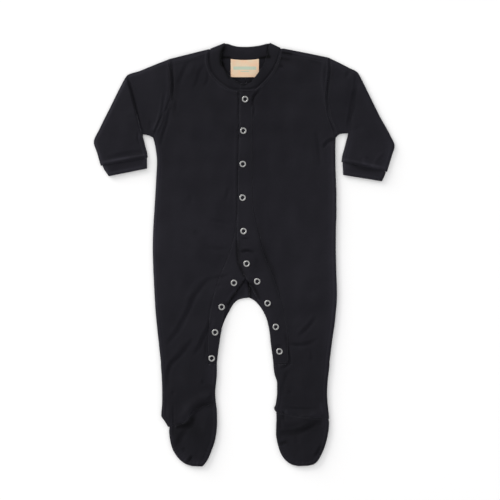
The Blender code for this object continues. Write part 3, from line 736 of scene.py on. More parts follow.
class Pattern:
    """Every long edge and seam of the garment as a smooth curve, and its whole outline."""

    outer: dict[Side, Edge]
    front: dict[Side, Edge]
    back: dict[Side, Edge]
    seam: dict[Side, Edge]
    free: dict[Side, Edge]
    sleeve: dict[Side, Array]
    cuff: dict[Side, Array]
    foot: dict[Side, Array]
    shoulder_y: dict[Side, float]
    ankle_y: dict[Side, float]
    outline: Line

    def __init__(self) -> None:
        """Reads every table into curves."""
        torso = np.array(TORSO)
        above = torso[torso[:, 0] >= UNDERARM_Y]
        below = torso[torso[:, 0] <= UNDERARM_Y]
        self.outer, self.front, self.back, self.seam, self.free = {}, {}, {}, {}, {}
        self.shoulder_y, self.ankle_y = {}, {}
        for side, chest, tip, shin, ankle, back, outer, seam, free in (
            (Side.RIGHT, CHEST_RIGHT, 3, SHIN_RIGHT, -212.0, BACK_EDGE_RIGHT, 1, 2, 3),
            (Side.LEFT, CHEST_LEFT, 2, SHIN_LEFT, -228.0, BACK_EDGE_LEFT, 6, 5, 4),
        ):
            chest, shin, back = np.array(chest), np.array(shin), np.array(back)
            leg, ankle_seam = shin[shin[:, 0] >= ankle], shin[shin[:, 0] <= ankle]
            self.shoulder_y[side] = float(chest[tip, 0])
            self.ankle_y[side] = ankle
            self.outer[side] = Edge(
                (
                    chest[: tip + 1, :2],
                    np.concatenate([chest[tip:-1, :2], above[:, [0, outer]]]),
                    np.concatenate([below[:, [0, outer]], shin[:, :2]]),
                )
            )
            step = np.array([torso[-1, [0, seam]], leg[0, [0, 2]]])
            lower = (leg[:, [0, 2]], ankle_seam[:, [0, 2]])
            self.front[side] = Edge((chest[:, [0, 2]], torso[:, [0, seam]], step, *lower))
            self.seam[side] = Edge((torso[:, [0, seam]],))
            self.free[side] = Edge((torso[:, [0, free]],))
            arch = np.concatenate([back[back[:, 0] <= CROTCH_Y], lower[0]])
            centre = back[(back[:, 0] <= CENTRE_BACK_Y) & (back[:, 0] >= CROTCH_Y)]
            neck = back[back[:, 0] >= CENTRE_BACK_Y]
            self.back[side] = Edge((neck, centre, arch, lower[1]))
        self.sleeve, self.cuff, self.foot = (
            {Side.RIGHT: np.array(right), Side.LEFT: np.array(left)}
            for right, left in (
                (SLEEVE_RIGHT, SLEEVE_LEFT),
                (CUFF_RIGHT, CUFF_LEFT),
                (FOOT_RIGHT, FOOT_LEFT),
            )
        )
        self.outline = Line(self._outline())

    def armhole(self, side: Side) -> Array:
        """The armhole seam from the shoulder down to the underarm."""
        return self.outer[side].between(self.shoulder_y[side], UNDERARM_Y)

    def ankle(self, side: Side) -> Array:
        """The ankle seam from the inner leg down to the outer side."""
        return self.front[side].between(self.ankle_y[side], self.front[side].corners[-1])

    def neck(self, side: Side) -> Array:
        """The neck seam of a front from the shoulder down to its band."""
        return self.front[side].between(self.front[side].corners[0], NECK_BASE_Y)

    def _arm(self, side: Side) -> Array:
        """The outline from the shoulder tip round sleeve and cuff to the underarm.

        Args:
            side: The wearer's side.

        Returns:
            Points in the plane.
        """
        armhole = self.armhole(side)
        rows = np.concatenate([self.sleeve[side], self.cuff[side][1:]])
        top = trace(np.concatenate([armhole[:1], rows[:, :2]]))
        under = trace(np.concatenate([armhole[-1:], rows[:, 2:]]))
        return np.concatenate([top, under[::-1]])

    def _leg(self, side: Side) -> Array:
        """The outline from the underarm down the side, round the foot and up to the crotch.

        Args:
            side: The wearer's side.

        Returns:
            Points in the plane.
        """
        outer, back, foot = self.outer[side], self.back[side], self.foot[side]
        ankle = self.ankle(side)
        down = outer.between(UNDERARM_Y, outer.corners[-1])
        sole = trace(np.concatenate([ankle[-1:], foot[:, :2]]))
        inner = trace(np.concatenate([ankle[:1], foot[:, 2:]]))
        up = back.between(CROTCH_Y, self.ankle_y[side])
        return np.concatenate([down, sole, inner[::-1], up[::-1]])

    def _outline(self) -> Array:
        """The whole outline as one closed ring, from the left end of the back neck round.

        Returns:
            The ring, its first point again at the end.
        """
        folds = np.array([BAND_LEFT_FOLD, *BAND_BACK, BAND_RIGHT_FOLD])
        halves = []
        for side, fold in ((Side.RIGHT, folds[-1, :2]), (Side.LEFT, folds[0, :2])):
            outer = self.outer[side]
            shoulder = outer.between(outer.corners[0], self.shoulder_y[side])
            parts = [fold[None], shoulder, self._arm(side), self._leg(side)]
            halves.append(np.concatenate(parts))
        ring = np.concatenate([trace(folds[:, 2:]), halves[0], halves[1][::-1]])
        return np.concatenate([ring, ring[:1]])


# A crease's crest: which way it lies, its share of the height, and how far groove and crest
# move off the line, in widths
CREST_SIDE = np.array([-0.72, 0.69])
CREST_SHARE = 0.4
GROOVE_MOVE = 0.45
CREST_MOVE = 1.1
DEEPEST_CREASE = -2.5

# How many widths a soft fold and a step reach, and the spacing of their lines
SOFT_REACH = 3.5
STEP_REACH = 6.0
FOLD_SPACING = 3.0


def beside(points: Array, xy: Array, reach: float) -> Array:
    """Which points lie inside a line's box, widened by a reach."""
    return ((xy > points.min(axis=0) - reach) & (xy < points.max(axis=0) + reach)).all(axis=1)


@dataclass(frozen=True)
class Fold:
    """A fold, crease or seam roll along a line, in millimetres.

    A soft one is a bell of its height across the line, and a crease also has a crest, a lower
    bell the other way, beside it. A step falls off over its width on its high side, behind a
    short edge. Along the line it swells in the middle, by its taper, and dies off past both
    ends.
    """

    height: float
    width: float
    path: Table | Array
    lie: Lie = Lie.SOFT
    taper: float = 0.6
    edge: float = 2.0
    crest: float = 0.0

    def relief(self, xy: Array) -> Array:
        """The height that the fold adds at each point.

        Args:
            xy: Points in the plane.

        Returns:
            One height for each point.
        """
        if self.crest:
            aside = self.width * CREST_SIDE
            groove = replace(self, crest=0.0)
            crest = replace(groove, height=-self.crest * self.height)
            return groove.relief(xy + GROOVE_MOVE * aside) + crest.relief(xy - CREST_MOVE * aside)
        line = Line(trace(self.path, FOLD_SPACING))
        made = np.zeros(len(xy))
        widths = SOFT_REACH if self.lie is Lie.SOFT else STEP_REACH
        close = beside(line.points, xy, widths * self.width)
        if not close.any():
            return made
        near, signed, run = line.nearest(xy[close])
        share = run / run_along(line.points)[-1]
        along = np.sin(np.pi * np.clip(share, 0.0, 1.0)) ** self.taper if self.taper else 1.0
        if self.lie is Lie.SOFT:
            made[close] = self.height * bell(near / self.width) * along
            return made
        distance = signed * self.lie.value
        shape = np.exp(-np.maximum(distance, 0.0) / self.width) * eased(distance / self.edge)
        beyond = np.where((share <= 0.0) | (share >= 1.0), near - np.abs(distance), 0.0)
        made[close] = self.height * shape * along * bell(beyond / self.width)
        return made


def folded(table: Table) -> list[Fold]:
    """Folds from rows of height, width and taper, then each place of the line, x before y.

    Args:
        table: The rows.

    Returns:
        One fold for each row.
    """
    return [
        Fold(height, width, tuple(zip(line[::2], line[1::2], strict=True)), taper=taper)
        for height, width, taper, *line in table
    ]


# The largest folds, at full strength along their lines
MAIN_FOLDS = (
    Fold(2.0, 22.0, ((-169.9, 259.0), (-147.2, 173.9)), Lie.HIGH_ON_RIGHT, taper=0.0),
    Fold(-1.0, 7.0, ((162.0, 252.0), (150.5, 183.0)), taper=0.0),
    Fold(-0.9, 9.0, ((-42.0, -213.0), (-110.0, -246.0)), taper=0.0),
    Fold(-0.9, 10.0, ((123.0, -234.0), (47.0, -256.0)), taper=0.0),
    Fold(-0.7, 12.0, ((-28.0, -8.0), (-70.0, -50.0)), taper=0.0),
    Fold(-0.5, 14.0, ((-70.0, -50.0), (-90.0, -112.0)), taper=0.0),
)

SHOULDER_ROLLS = (
    (0.5, 1.8, 0.2, -109, 278.5, -88, 281.5, -54, 291.5),
    (0.5, 1.8, 0.2, 121, 280.5, 95, 286, 54, 294.8),
)

# Creases of the neck, chest and armholes, as rows for folded
CHEST_CREASES = (
    (-2, 1.9, 0.6, 23.5, 242.5, 18, 235.5, 12.3, 228, 11.3, 214),
    (-0.9, 1.8, 0.6, 13, 217, 13.8, 210, 13.5, 202),
    (-0.7, 2.8, 0.6, 50, 274.5, 57, 272),
    (-0.7, 2.4, 0.6, 54, 294.5, 66, 290.5, 80, 288),
    (-1.5, 2.3, 0.3, -106, 283, -104.3, 270, -103.8, 250, -104, 236, -103.6, 222),
    (0.9, 2.6, 0.3, -109.8, 281, -109.3, 256, -109, 236),
    (0.9, 1.8, 0.3, -109.8, 238, -114, 218, -117, 203.5, -121.5, 187.5, -128, 178),
    (0.9, 1.8, 0.3, -118.5, 234, -121.5, 209.5, -128.5, 187.5, -135, 176),
    (-0.6, 2.6, 0.6, -99.6, 230, -99.4, 207),
    (-1.2, 2.4, 0.6, -107.5, 214, -110, 206, -112.7, 192, -117, 179, -120.5, 165, -122, 157),
    (-0.6, 2.6, 0.6, -137.5, 195, -135.5, 183),
    (-1.5, 2.2, 0.3, 123.5, 286, 123.3, 270, 122.5, 255, 121.3, 243, 119, 226),
    (0.8, 2.4, 0.6, 117, 281, 113.5, 259, 114.3, 244, 116, 232, 119, 208),
    (-0.7, 2.4, 0.6, 120, 232, 124, 214),
    (1, 1.9, 0.6, 124.5, 199, 131, 187.5, 139, 177),
    (-0.9, 1.8, 0.6, 122.5, 196, 128, 183.5, 136, 177),
    (-2.2, 2.1, 0.4, 114, 156, 120, 164, 127, 167, 137, 167),
    (-0.9, 3.2, 0.6, -81, 281, -89.5, 264.5, -96, 246),
    (-0.9, 2.9, 0.6, -58, 276, -66.3, 263, -69.5, 250, -75, 241),
    (0.6, 3.4, 0.6, -72, 278, -79.5, 258),
    (-0.7, 2.4, 0.6, -52.5, 266, -53.5, 254, -59, 243),
    (-0.9, 3.3, 0.6, 103, 180, 106.8, 158, 109.5, 128),
    (0.6, 4, 0.6, 96, 165, 100, 130),
    (-0.45, 1.7, 0.3, -8.3, 236, -8.4, 225, -9, 208, -9.8, 196),
    (0.5, 2.2, 0.3, -11.4, 186, -12.2, 150, -12.8, 93, -12.6, 50),
    (-0.9, 1.5, 0.3, -14, 242.3, -5, 240.4, 6, 240.5, 13, 242, 18, 245),
    (0.8, 1.4, 0.3, -5.5, 237.4, 4, 236.8, 13, 237.6, 17, 239.5),
    (-0.6, 2.2, 0.3, -11.2, 252.2, -5.4, 248.5, -1, 245.6, 4.8, 249.3, 9.1, 252.9),
    (-0.6, 1.8, 0.6, -11.5, 171.5, 3.5, 171.3),
)

# Creases of the belly, hips and crotch
HIP_CREASES = (
    (-1.4, 1.8, 0.3, -11.3, 24, -9.9, 6, -9, -8, -3.9, -20, 1.5, -33),
    (-2.2, 2, 0.6, -5.5, 3.5, -2, 5.6, 4, 7.2, 9.6, 5.8, 14.5, 2.8),
    (-0.9, 7, 0.3, 3, -36, -8, -48, -20, -62, -28, -80),
    (-1.3, 8, 0.3, 7, -38, 14, -50, 24, -70),
    (-0.7, 2, 0.6, -5, 23.5, 10, 23.5),
    (-0.7, 2, 0.6, 17, -2, 18.5, -18),
    (-0.6, 3, 0.6, -73, 36, -66, 27),
    (-0.6, 3, 0.6, -23, 98, -28, 77),
    (-0.6, 2.8, 0.6, -50, 51.5, -34, 49, -18, 44.5),
    (-0.7, 4, 0.6, -60, 14.5, -40, 9, -21, 11),
    (-0.5, 3, 0.6, -80, 88, -76, 74),
    (0.5, 6, 0.6, -62, 34, -48, 28, -38, 26),
    (0.6, 12, 0.6, -94, 66, -98, 30, -90, 4),
    (0.5, 14, 0.6, 60, 132, 76, 96, 72, 30),
    (
        -1.6, 3.6, 0.6, -46, -32, -59, -41.5, -66.5, -51.5, -75, -63, -79.5, -75, -89.5, -95,
        -94, -104, -103, -117, -113, -131,
    ),
    (0.7, 4, 0.6, -62, -33, -72, -44, -80, -58, -88, -74),
    (-0.7, 2.8, 0.6, -18, -25.5, -31.5, -31.3, -48, -33),
    (-0.7, 3, 0.6, -36, -41, -40.5, -47),
    (-1.6, 3.2, 0.6, -49, -94, -52, -104, -60.5, -121, -65, -131.5, -74, -145),
    (-0.8, 2.2, 0.6, -56, -120, -57, -150),
    (
        -1.5, 3.2, 0.6, -74, -120, -85, -134.5, -95.5, -147, -105.5, -156, -110, -166,
        -111.3, -179, -110, -192,
    ),
    (0.6, 3.6, 0.6, -84, -122, -98, -138, -106, -148),
    (-0.9, 2.4, 0.6, -62, -180.5, -59.5, -187),
    (-0.8, 2.6, 0.6, -104.5, -196, -103, -203),
    (-1.5, 3, 0.6, 58, -112, 63, -124, 70, -129.5, 80, -130, 90, -128, 106, -122),
    (-1.4, 3.1, 0.6, 104, -89, 95, -100.5, 86, -110, 78, -118),
    (-0.7, 2.6, 0.6, 88, -135, 97, -143, 97, -156),
    (-1.1, 2.1, 0.6, 62, -126, 65, -140, 66, -153, 60, -161, 50, -165.5),
    (-0.9, 2, 0.6, 43, -137, 48.5, -131.5, 56.5, -131.5),
    (0.5, 6, 0.6, 74, -92, 78, -104),
    (0.5, 7, 0.6, 84, -34, 96, -52),
    (-0.7, 3.2, 0.6, 66, -166, 60, -176, 56, -190, 55, -204),
    (-0.6, 2.6, 0.6, 62, -197, 69, -200),
)

# Creases of the ankles, feet, sleeves and cuffs
LIMB_CREASES = (
    (
        -1.6, 4, 0.25, -38, -213.5, -48.9, -215.5, -57.6, -216.2, -64.8, -219.8, -70.6, -224.2,
        -73.5, -231.4, -75, -238.7, -77.9, -245.9, -85.1, -248.8, -98.2, -248.8,
    ),
    (-1.2, 4.6, 0.6, -84, -252, -92.5, -264, -98, -277),
    (-1.2, 3, 0.6, -79, -247, -88, -250),
    (-0.8, 2.6, 0.6, -44.5, -188, -47.5, -204, -56, -213),
    (-0.8, 2, 0.6, -103.6, -216, -103.2, -236, -102, -254),
    (0.5, 2.2, 0.6, -109, -216, -108, -246),
    (-1.3, 2.1, 0.6, -75.5, -290, -79.5, -296, -84.5, -302),
    (-0.7, 2.4, 0.6, -90, -279, -86, -285),
    (0.6, 5, 0.6, -60, -286, -63, -300),
    (0.6, 5.5, 0.6, -54, -232, -60, -262),
    (
        -2.2, 3.6, 0.25, 113.5, -242.4, 104.8, -241.6, 97.6, -245.4, 90.3, -249.2, 81.6, -252.8,
        67.1, -257, 52.6, -257.4,
    ),
    (-1.1, 4, 0.6, 98, -243, 84, -255, 70, -262),
    (-0.9, 2.4, 0.6, 57.5, -224, 56.5, -232, 58, -240),
    (-0.7, 2.1, 0.6, 55, -219, 67, -221.5, 80, -222.5, 106, -222.5),
    (0.8, 2.6, 0.6, 61, -224, 63, -231),
    (0.6, 2.6, 0.6, 70, -224, 78, -234, 88, -236),
    (0.7, 3, 0.6, 98, -230, 108, -229),
    (-1.1, 2.5, 0.6, 51, -275, 61, -269.5),
    (-0.9, 3, 0.6, 110, -277, 104.5, -288, 99, -294),
    (-0.6, 3, 0.6, 74, -263, 77, -274),
    (0.6, 6, 0.6, 76, -290, 92, -296),
    (
        -2.9, 1.8, 0.2, -172.6, 261, -168.1, 253, -160.6, 228.2, -154.1, 200.7, -151.3, 189,
        -146.6, 175,
    ),
    (2.2, 6, 0.4, -44, -203, -60, -207, -76, -217, -85, -230, -95, -238, -106, -239),
    (1.8, 6, 0.4, 112, -231, 100, -232, 86, -238, 72, -243, 54, -245),
    (-0.8, 1.9, 0.6, -154.2, 178, -154.8, 169, -151, 161),
    (0.6, 2.2, 0.6, -150.5, 176, -150, 166),
    (-0.5, 4, 0.6, -172, 201, -156, 199),
    (-1.7, 2.8, 0.35, 161, 264, 161, 244, 158, 232.5, 155.8, 217, 153, 202, 150.8, 189, 153, 178),
    (-0.8, 2.8, 0.6, 152, 267, 146, 257.5),
    (-0.5, 4, 0.6, 160, 186, 170, 184),
    (1.5, 3.4, 0.6, 171, 139, 176, 134, 180, 129),
    (-0.6, 2.2, 0.6, 178, 142, 177, 139),
    (-0.6, 3, 0.4, -197, 141.5, -179, 146, -165, 148.5, -147, 151),
    (0.6, 2.4, 0.6, 187, 126, 193, 140, 204, 150),
)


# Painted shade, below 0, and painted highlight, above 0, along creases and seams and under edges
PAINTED_SHADES_AND_HIGHLIGHTS = (
    (-0.85, 2.9, 0, -30, 300.7, -32.9, 293.5, -33.6, 286.2, -33.3, 280.4, -31.4, 275.5),
    (-0.6, 1.8, 0, -32.5, 278, -30, 273.2, -26.7, 265.9, -23.5, 259.4, -22, 256.5),
    (-0.85, 1.9, 0, -31, 285.9, -21, 286.2),
    (-0.85, 1.9, 0, 23.6, 285.6, 37, 286.8),
    (-0.75, 1.7, 0, 34.1, 303.5, 34.2, 293.5, 35.2, 287),
    (-0.2, 4, 0, 26.5, 281, 26, 270),
    (-0.4, 2, 0, -11.2, 252.2, -5.4, 248.5, -1, 245.6, 4.8, 249.3, 9.1, 252.9),
    (-0.16, 1.7, 0.2, -51.2, 296, -50, 280, -43, 262, -32, 248.5, -20, 241.2, -8, 240),
    (-0.2, 1.5, 0.3, 17.8, 244.2, 25.1, 250, 32.3, 257.2, 38.1, 265.9, 42.5, 273.2, 46.8, 281.9),
    (-0.22, 1.6, 0.2, 36, 259.5, 42, 267.8, 48.6, 279.5, 51, 287),
    (-0.3, 2.6, 0.2, 43.5, 263, 50, 275, 54.5, 288),
    (-0.35, 2.2, 0.3, 20.8, 239, 17, 233.5, 13, 227, 11.5, 220),
    (-0.25, 2.2, 0, -9.5, 234, -8.5, 224),
    (-0.8, 2.6, 0.3, 53, 293.8, 60, 292.3, 70, 290.8),
    (-0.25, 3, 0.2, 92, 282, 111, 277.5),
    (-0.4, 2, 0.2, 52.5, 284.6, 58, 283.8, 66, 282.4),
    (-0.3, 2.2, 0, 53, 273.5, 56, 272.5),
    (-0.18, 9, 0.3, 50, 286, 74, 281, 99, 268),
    (0.13, 6.5, 0.2, -114, 281, -78, 288, -49, 294, -33, 302),
    (0.1, 12, 0.2, -165, 252, -130, 264),
    (-0.32, 2.8, 0.3, -105.8, 276, -105.4, 262, -104.6, 240, -104, 224),
    (-0.2, 5.5, 0.3, -98, 270, -99, 240, -102, 200),
    (-0.28, 3.4, 0.3, 126.4, 274, 124.8, 250, 123, 232),
    (-0.12, 3.4, 0.3, 123, 232, 123, 220, 128, 196),
    (-0.16, 2.4, 0.2, -109.2, 276, -108.6, 252),
    (0.22, 3.4, 0.2, -110.5, 236, -118, 205),
    (0.12, 3, 0.2, -122, 210, -130, 184),
    (-0.45, 1.7, 0.2, -169.5, 257, -161.8, 229, -155.2, 201),
    (-0.15, 2.2, 0.4, 161, 240, 156, 217, 151, 190),
    (0.12, 6, 0.2, 148, 236, 144, 205),
    (0.15, 6, 0, 154, 258, 160, 244),
    (-0.15, 5, 0, 148, 272, 152, 262),
    (-0.12, 4, 0.3, 12.5, 225, 12, 150, 12.5, 80, 18, 50),
    (-0.38, 4, 0.3, 20, 46, 23.6, 28.1, 28, 10, 34, -8, 41, -22.6, 46.8, -44.4, 50.5, -64),
    (-0.7, 2.9, 0.2, -8.6, 22, -9.2, 10, -8.4, -6, -4.4, -20, -0.4, -28, 1.9, -34),
    (-0.35, 1.9, 0.3, -4, 4.5, 4, 6.2, 9.6, 4.8, 13.5, 2.6),
    (-0.22, 10, 0.2, 14, -6, 20, -26),
    (-0.3, 2, 0.2, -5, 24.4, 6.4, 24.4),
    (-0.95, 2.3, 0, 5.4, -38.6, 7.5, -45.8, 8.8, -53.1, 9, -61),
    (0.7, 2.4, 0, 0.8, -34.5, 2.6, -38.5),
    (-0.75, 2.1, 0.3, 9.1, -40, 13.5, -45.8, 17.8, -54.5, 22.2, -64.7),
    (0.6, 1.5, 0.3, 0.5, -39.6, -4.6, -48.7, -10.4, -56),
    (0.35, 3, 0, 2, -45, 2, -58),
    (-0.85, 1.8, 0, -1, -38.6, -8.3, -48.7, -14.3, -56.8, -18.9, -63.4, -24.4, -72),
    (0.6, 2, 0, -14, -51.5, -20, -58.5, -26, -66.5),
    (-0.14, 6, 0.2, -29, -29.9, -46, -36.4, -57.6, -45.8, -62, -55),
    (0.16, 3.4, 0.2, -20, -52, -31, -63.2, -42, -84, -45.5, -103.8),
    (0.17, 5, 0.2, -47, -104, -46, -142),
    (0.15, 5, 0, -31, -78, -36, -92),
    (0.38, 6, 0.2, -48.9, -157, -48.9, -188),
    (0.2, 4, 0, -45, -96, -44, -107),
    (0.1, 8, 0.2, -108, -125, -92, -150),
    (-0.22, 3, 0.2, 60.8, -118.3, 62.8, -138.6, 64, -154),
    (-0.14, 7, 0.2, 64, -126, 79, -130),
    (-0.1, 7, 0.2, 57, -160, 58.4, -211),
    (-0.16, 6, 0.2, -86, -218, -76, -211, -64, -204),
    (0.15, 5, 0, -115, -228, -108, -244),
    (0.35, 3, 0.2, -97, -241, -86, -238, -78, -229),
    (-0.3, 2.8, 0.2, -98, -247.5, -88, -246.5, -79.5, -241.5),
    (-0.16, 8, 0, -76, -254, -68, -262),
    (-0.3, 4, 0.3, -43.7, -215.5, -57.6, -216.6, -66.3, -220, -72.1, -227),
    (-0.26, 4.6, 0.2, -74.2, -236, -77, -244.5, -85, -249.5, -99.6, -249),
    (-0.2, 6, 0.2, -84, -254, -91, -257.5, -96.5, -266.2, -99.5, -279),
    (-0.25, 4, 0, -103.5, -249, -101.5, -258),
    (-0.14, 7, 0, -73, -239, -66, -253),
    (-0.14, 5, 0, 51, -238, 51, -267),
    (-0.1, 7, 0, 88, -224, 99, -229),
    (-0.32, 2.2, 0, -77.5, -293.5, -83, -300.5),
    (0.42, 3.2, 0, -72.5, -299, -60, -300),
    (0.28, 4, 0, -92, -288, -84, -297),
    (-0.25, 6.2, 0.3, 112, -242, 97.6, -248, 90.3, -251.6, 81.6, -255, 67.1, -258.4, 50, -257.6),
    (-0.18, 4, 0.2, 53.5, -226, 57, -244),
    (-0.3, 3.2, 0, 51.5, -273.5, 61, -271.5),
    (0.35, 3, 0, 60, -227.6, 66, -230),
    (0.42, 3.6, 0, 97, -231.6, 108, -232.6),
    (0.35, 3.4, 0, 112, -218, 112.5, -228),
    (0.2, 3.4, 0, 54, -290, 66, -299),
    (-0.3, 3, 0, 110, -277, 104.5, -288),
    (0.25, 1.5, 0.2, -41.6, 250, -34.4, 243.5, -25.7, 239.1, -15.5, 236.9),
    (0.25, 1.5, 0.2, 29.4, 247.1, 22.2, 242.6, 13.5, 237.7, 1.9, 236.2),
    (-0.2, 4.5, 0, -84, -243, -76, -236),
    (0.15, 5, 0, -153, 188, -151.5, 173),
    (0.15, 4, 0, -131, 186, -129, 180),
    (0.12, 6, 0, 130, 192, 146, 190),
    (0.09, 10, 0, -58, 178, -38, 180),
    (0.05, 22, 0, -110, 120, -95, 70, -92, 20, -84, -15),
    (-0.05, 18, 0, -52, 88, -46, 60),
    (-0.09, 7, 0, -82, 17, -42, 14),
    (-0.1, 7, 0, -70, 31, -64, 24),
    (0.15, 5, 0, -124, 42, -125, 10),
    (-0.1, 8, 0, -119, 160, -119, 95),
    (-0.07, 12, 0, -54, 246, -50, 226),
    (-0.1, 6, 0.3, 17, 100, 22, 60, 27, 25),
    (-0.06, 14, 0, 86, 250, 92, 205),
    (-0.05, 16, 0, 62, 10, 68, -50),
    (-0.15, 11, 0, 30, 0, 39, -32),
    (0.06, 10, 0, 124, 60, 126, -40),
    (0.06, 12, 0, 76, -92, 112, -128),
    (0.07, 10, 0, 78, 105, 88, 84),
    (-0.05, 14, 0, 60, -160, 84, -172),
    (-0.3, 4, 0, 125, 169, 129, 168),
    (0.12, 5, 0, -105, -108, -98, -125),
    (0.15, 4, 0.2, -119, -135, -117, -175),
    (0.12, 5, 0.2, 121, -95, 117, -130),
    (-0.3, 2.5, 0.2, 54, -157.5, 62, -158),
    (0.6, 2.2, 0.2, -204, 132.8, -194, 134.8, -182, 138, -166, 141.2),
    (-0.16, 2.6, 0.2, -198, 140, -179.4, 143.2, -165, 144.8, -147, 147.4),
    (-0.35, 2.4, 0.3, 148, 132.6, 158, 129.8, 168, 124.8, 176, 123.2, 198, 120.6),
    (0.6, 3.2, 0.2, 170, 133, 176, 132, 184, 129, 196, 125.8),
    (-0.19, 8, 0, 150, 121, 176, 116, 203, 111),
)


@dataclass(frozen=True)
class Puckers:
    """The gathers that a popper draws in the cloth round it.

    The ring presses a moat, the cloth inside it domes up, and a few rays die off outside.
    """

    centre: tuple[float, float]
    turn: float
    moat: float = -0.32
    dome: float = 0.3
    ray: float = 0.22
    rays: int = 6
    moat_radius: float = 5.4
    moat_width: float = 1.9
    dome_width: float = 2.1
    ray_radius: float = 8.0
    ray_width: float = 3.2
    reach: float = 15.0

    def relief(self, xy: Array) -> Array:
        """The height that the popper adds round it.

        Args:
            xy: Points in the plane.

        Returns:
            One height for each point.
        """
        offset = xy - np.array(self.centre)
        radius = np.linalg.norm(offset, axis=1)
        angle = np.arctan2(offset[:, 1], offset[:, 0])
        made = self.moat * bell((radius - self.moat_radius) / self.moat_width)
        made += self.dome * bell(radius / self.dome_width)
        rays = np.cos(self.rays * angle + self.turn) * (0.7 + 0.3 * np.cos(angle - self.turn))
        made += self.ray * rays * bell((radius - self.ray_radius) / self.ray_width)
        return made * (radius < self.reach)


class Loft:
    """Height of the front's middle surface over the floor, the same for every front piece."""

    SWELL_WAVES = 26
    SWELL_HEIGHT = 0.13
    SWELL_RUN = 30.0
    # Side seams: height, distance inside the outline and width of the roll and its groove
    SIDE_ROLL = (0.5, 3.0, 1.6)
    SIDE_GROOVE = (-0.25, 6.4, 1.5)
    # Gathers of the toes: height, distance inside and width, their pitch, and where they begin
    GATHERS = (0.35, 4.2, 3.0)
    GATHER_PITCH = 5.2
    TOES = (-262.0, 26.0)
    RELIEF_RUN = 4.5
    # Pale rims along the side seams, partly wear and partly painted sheen: their share and width.
    # Then painted light falloff, paler on belly and arms, darker on chest, legs and feet: where
    # each tone lies, how far it runs and what it adds
    WEAR_AND_SHEEN_RIM_RIGHT = (0.8, 6.2)
    WEAR_AND_SHEEN_RIM_LEFT = (0.55, 10.5)
    BELLY = (20.0, 110.0, 0.13)
    CHEST = (215.0, 55.0, -0.35)
    ARMS = (105.0, 30.0, 0.08)
    LEGS = (-40.0, 150.0, -0.15)
    FEET = (-225.0, 25.0, -0.05)
    LEG_RIM = 0.6
    RASTER_START = (-225.0, -315.0)
    RASTER_STEP = 2.5

    def __init__(self, pattern: Pattern) -> None:
        """Draws the waves and gathers the folds.

        Args:
            pattern: The garment's edges and seams.
        """
        self.pattern = pattern
        waves = np.random.default_rng(7)
        length = waves.uniform(24.0, 85.0, self.SWELL_WAVES)
        angle = waves.uniform(0.0, np.pi, self.SWELL_WAVES)
        self.wave = (2 * np.pi / length)[:, None] * np.stack([np.cos(angle), np.sin(angle)], 1)
        self.phase = waves.uniform(0.0, 2 * np.pi, self.SWELL_WAVES)
        self.weight = self.SWELL_HEIGHT * np.sqrt(length / 60.0)
        self.seams = self._seams()
        creases = folded((*CHEST_CREASES, *HIP_CREASES, *LIMB_CREASES))
        self.creases = [
            replace(part, crest=CREST_SHARE) if DEEPEST_CREASE < part.height < 0 else part
            for part in creases
        ]
        # Painted shade and painted highlight strokes, added to the cloth's tone attribute
        self.painted_shades_and_highlights = folded(PAINTED_SHADES_AND_HIGHLIGHTS)
        self.raster = self._wear_and_painted_light_raster()
        centres = [place for row in POPPER_ROWS.values() for place in row]
        self.puckers = [Puckers(place, 2.4 * number) for number, place in enumerate(centres)]

    def _seams(self) -> list[Fold]:
        """The groove of each seam and the roll of its allowance, which lies to one side.

        Returns:
            The folds, right before left.
        """
        made = []
        for side, sign, roll in ((Side.RIGHT, 1.0, 0.9), (Side.LEFT, -1.0, 0.3)):
            pattern = self.pattern
            cuff = pattern.cuff[side][0].reshape(2, 2)
            for height, width, path in (
                (-0.7, 1.5, self._neck_groove(side)),
                (roll, 1.9, moved_aside(pattern.neck(side), -3.0 * sign)),
                (-0.4, 1.6, pattern.armhole(side)),
                (0.15, 2.6, moved_aside(pattern.ankle(side), 3.0 * sign)),
                (-0.6, 1.4, cuff + (0.0, -0.7)),
                (1.9, 2.1, cuff + (0.0, 3.1)),
            ):
                made.append(Fold(height, width, path, taper=0.1))
        left, right = self.pattern.seam[Side.LEFT], self.pattern.seam[Side.RIGHT]
        made.append(Fold(-0.7, 2.3, left.between(60.0, -92.0)))
        made.append(Fold(-0.3, 1.9, left.between(140.0, -20.0)))
        made.append(Fold(-0.5, 1.8, right.between(-60.0, BAND_END_Y + 6.0)))
        return made + folded(SHOULDER_ROLLS)

    def _neck_groove(self, side: Side) -> Array:
        """Where the neck seam sinks in: inside the seam, and outside it high on the left.

        Args:
            side: The wearer's side.

        Returns:
            The groove's line.
        """
        seam = self.pattern.neck(side)
        if side is Side.RIGHT:
            return moved_aside(seam, 1.2)
        aside = np.interp(seam[:, 1], (240.0, 262.0, 288.0), (-0.6, 0.8, 1.6))
        return moved_aside(seam, aside[:, None])

    def _side_share(self, xy: Array) -> Array:
        """How far a place belongs to the side seams, legs and feet, from 0 to 1.

        Args:
            xy: Points in the plane.

        Returns:
            One share for each point.
        """
        x, y = xy.T
        inner = (y > BAND_END_Y - 2.0) & (np.abs(x) < 90.0)
        return eased((UNDERARM_Y - 4.0 - y) / 8.0) * eased((np.abs(x) - 20.0) / 8.0) * ~inner

    def _edge_relief(self, xy: Array, inside: Array, run: Array) -> Array:
        """The rolls that follow the outline: side seams, legs and feet, and toe gathers.

        Args:
            xy: Points in the plane.
            inside: Their distances from the outline.
            run: Run along the outline to the nearest place.

        Returns:
            One height for each point.
        """
        def ridge(height: float, place: float, width: float) -> Array:
            """A bell along the outline."""
            return height * bell((inside - place) / width)

        uneven = 0.8 + 0.2 * np.sin(run / 5.3) * np.sin(run / 13.0)
        rolls = ridge(*self.SIDE_ROLL) + ridge(*self.SIDE_GROOVE)
        toe = eased((self.TOES[0] - xy[:, 1]) / self.TOES[1])
        wave = np.cos(2 * np.pi * run / self.GATHER_PITCH + 1.3 * np.sin(run / 17.0))
        return rolls * self._side_share(xy) * uneven + ridge(*self.GATHERS) * wave * toe

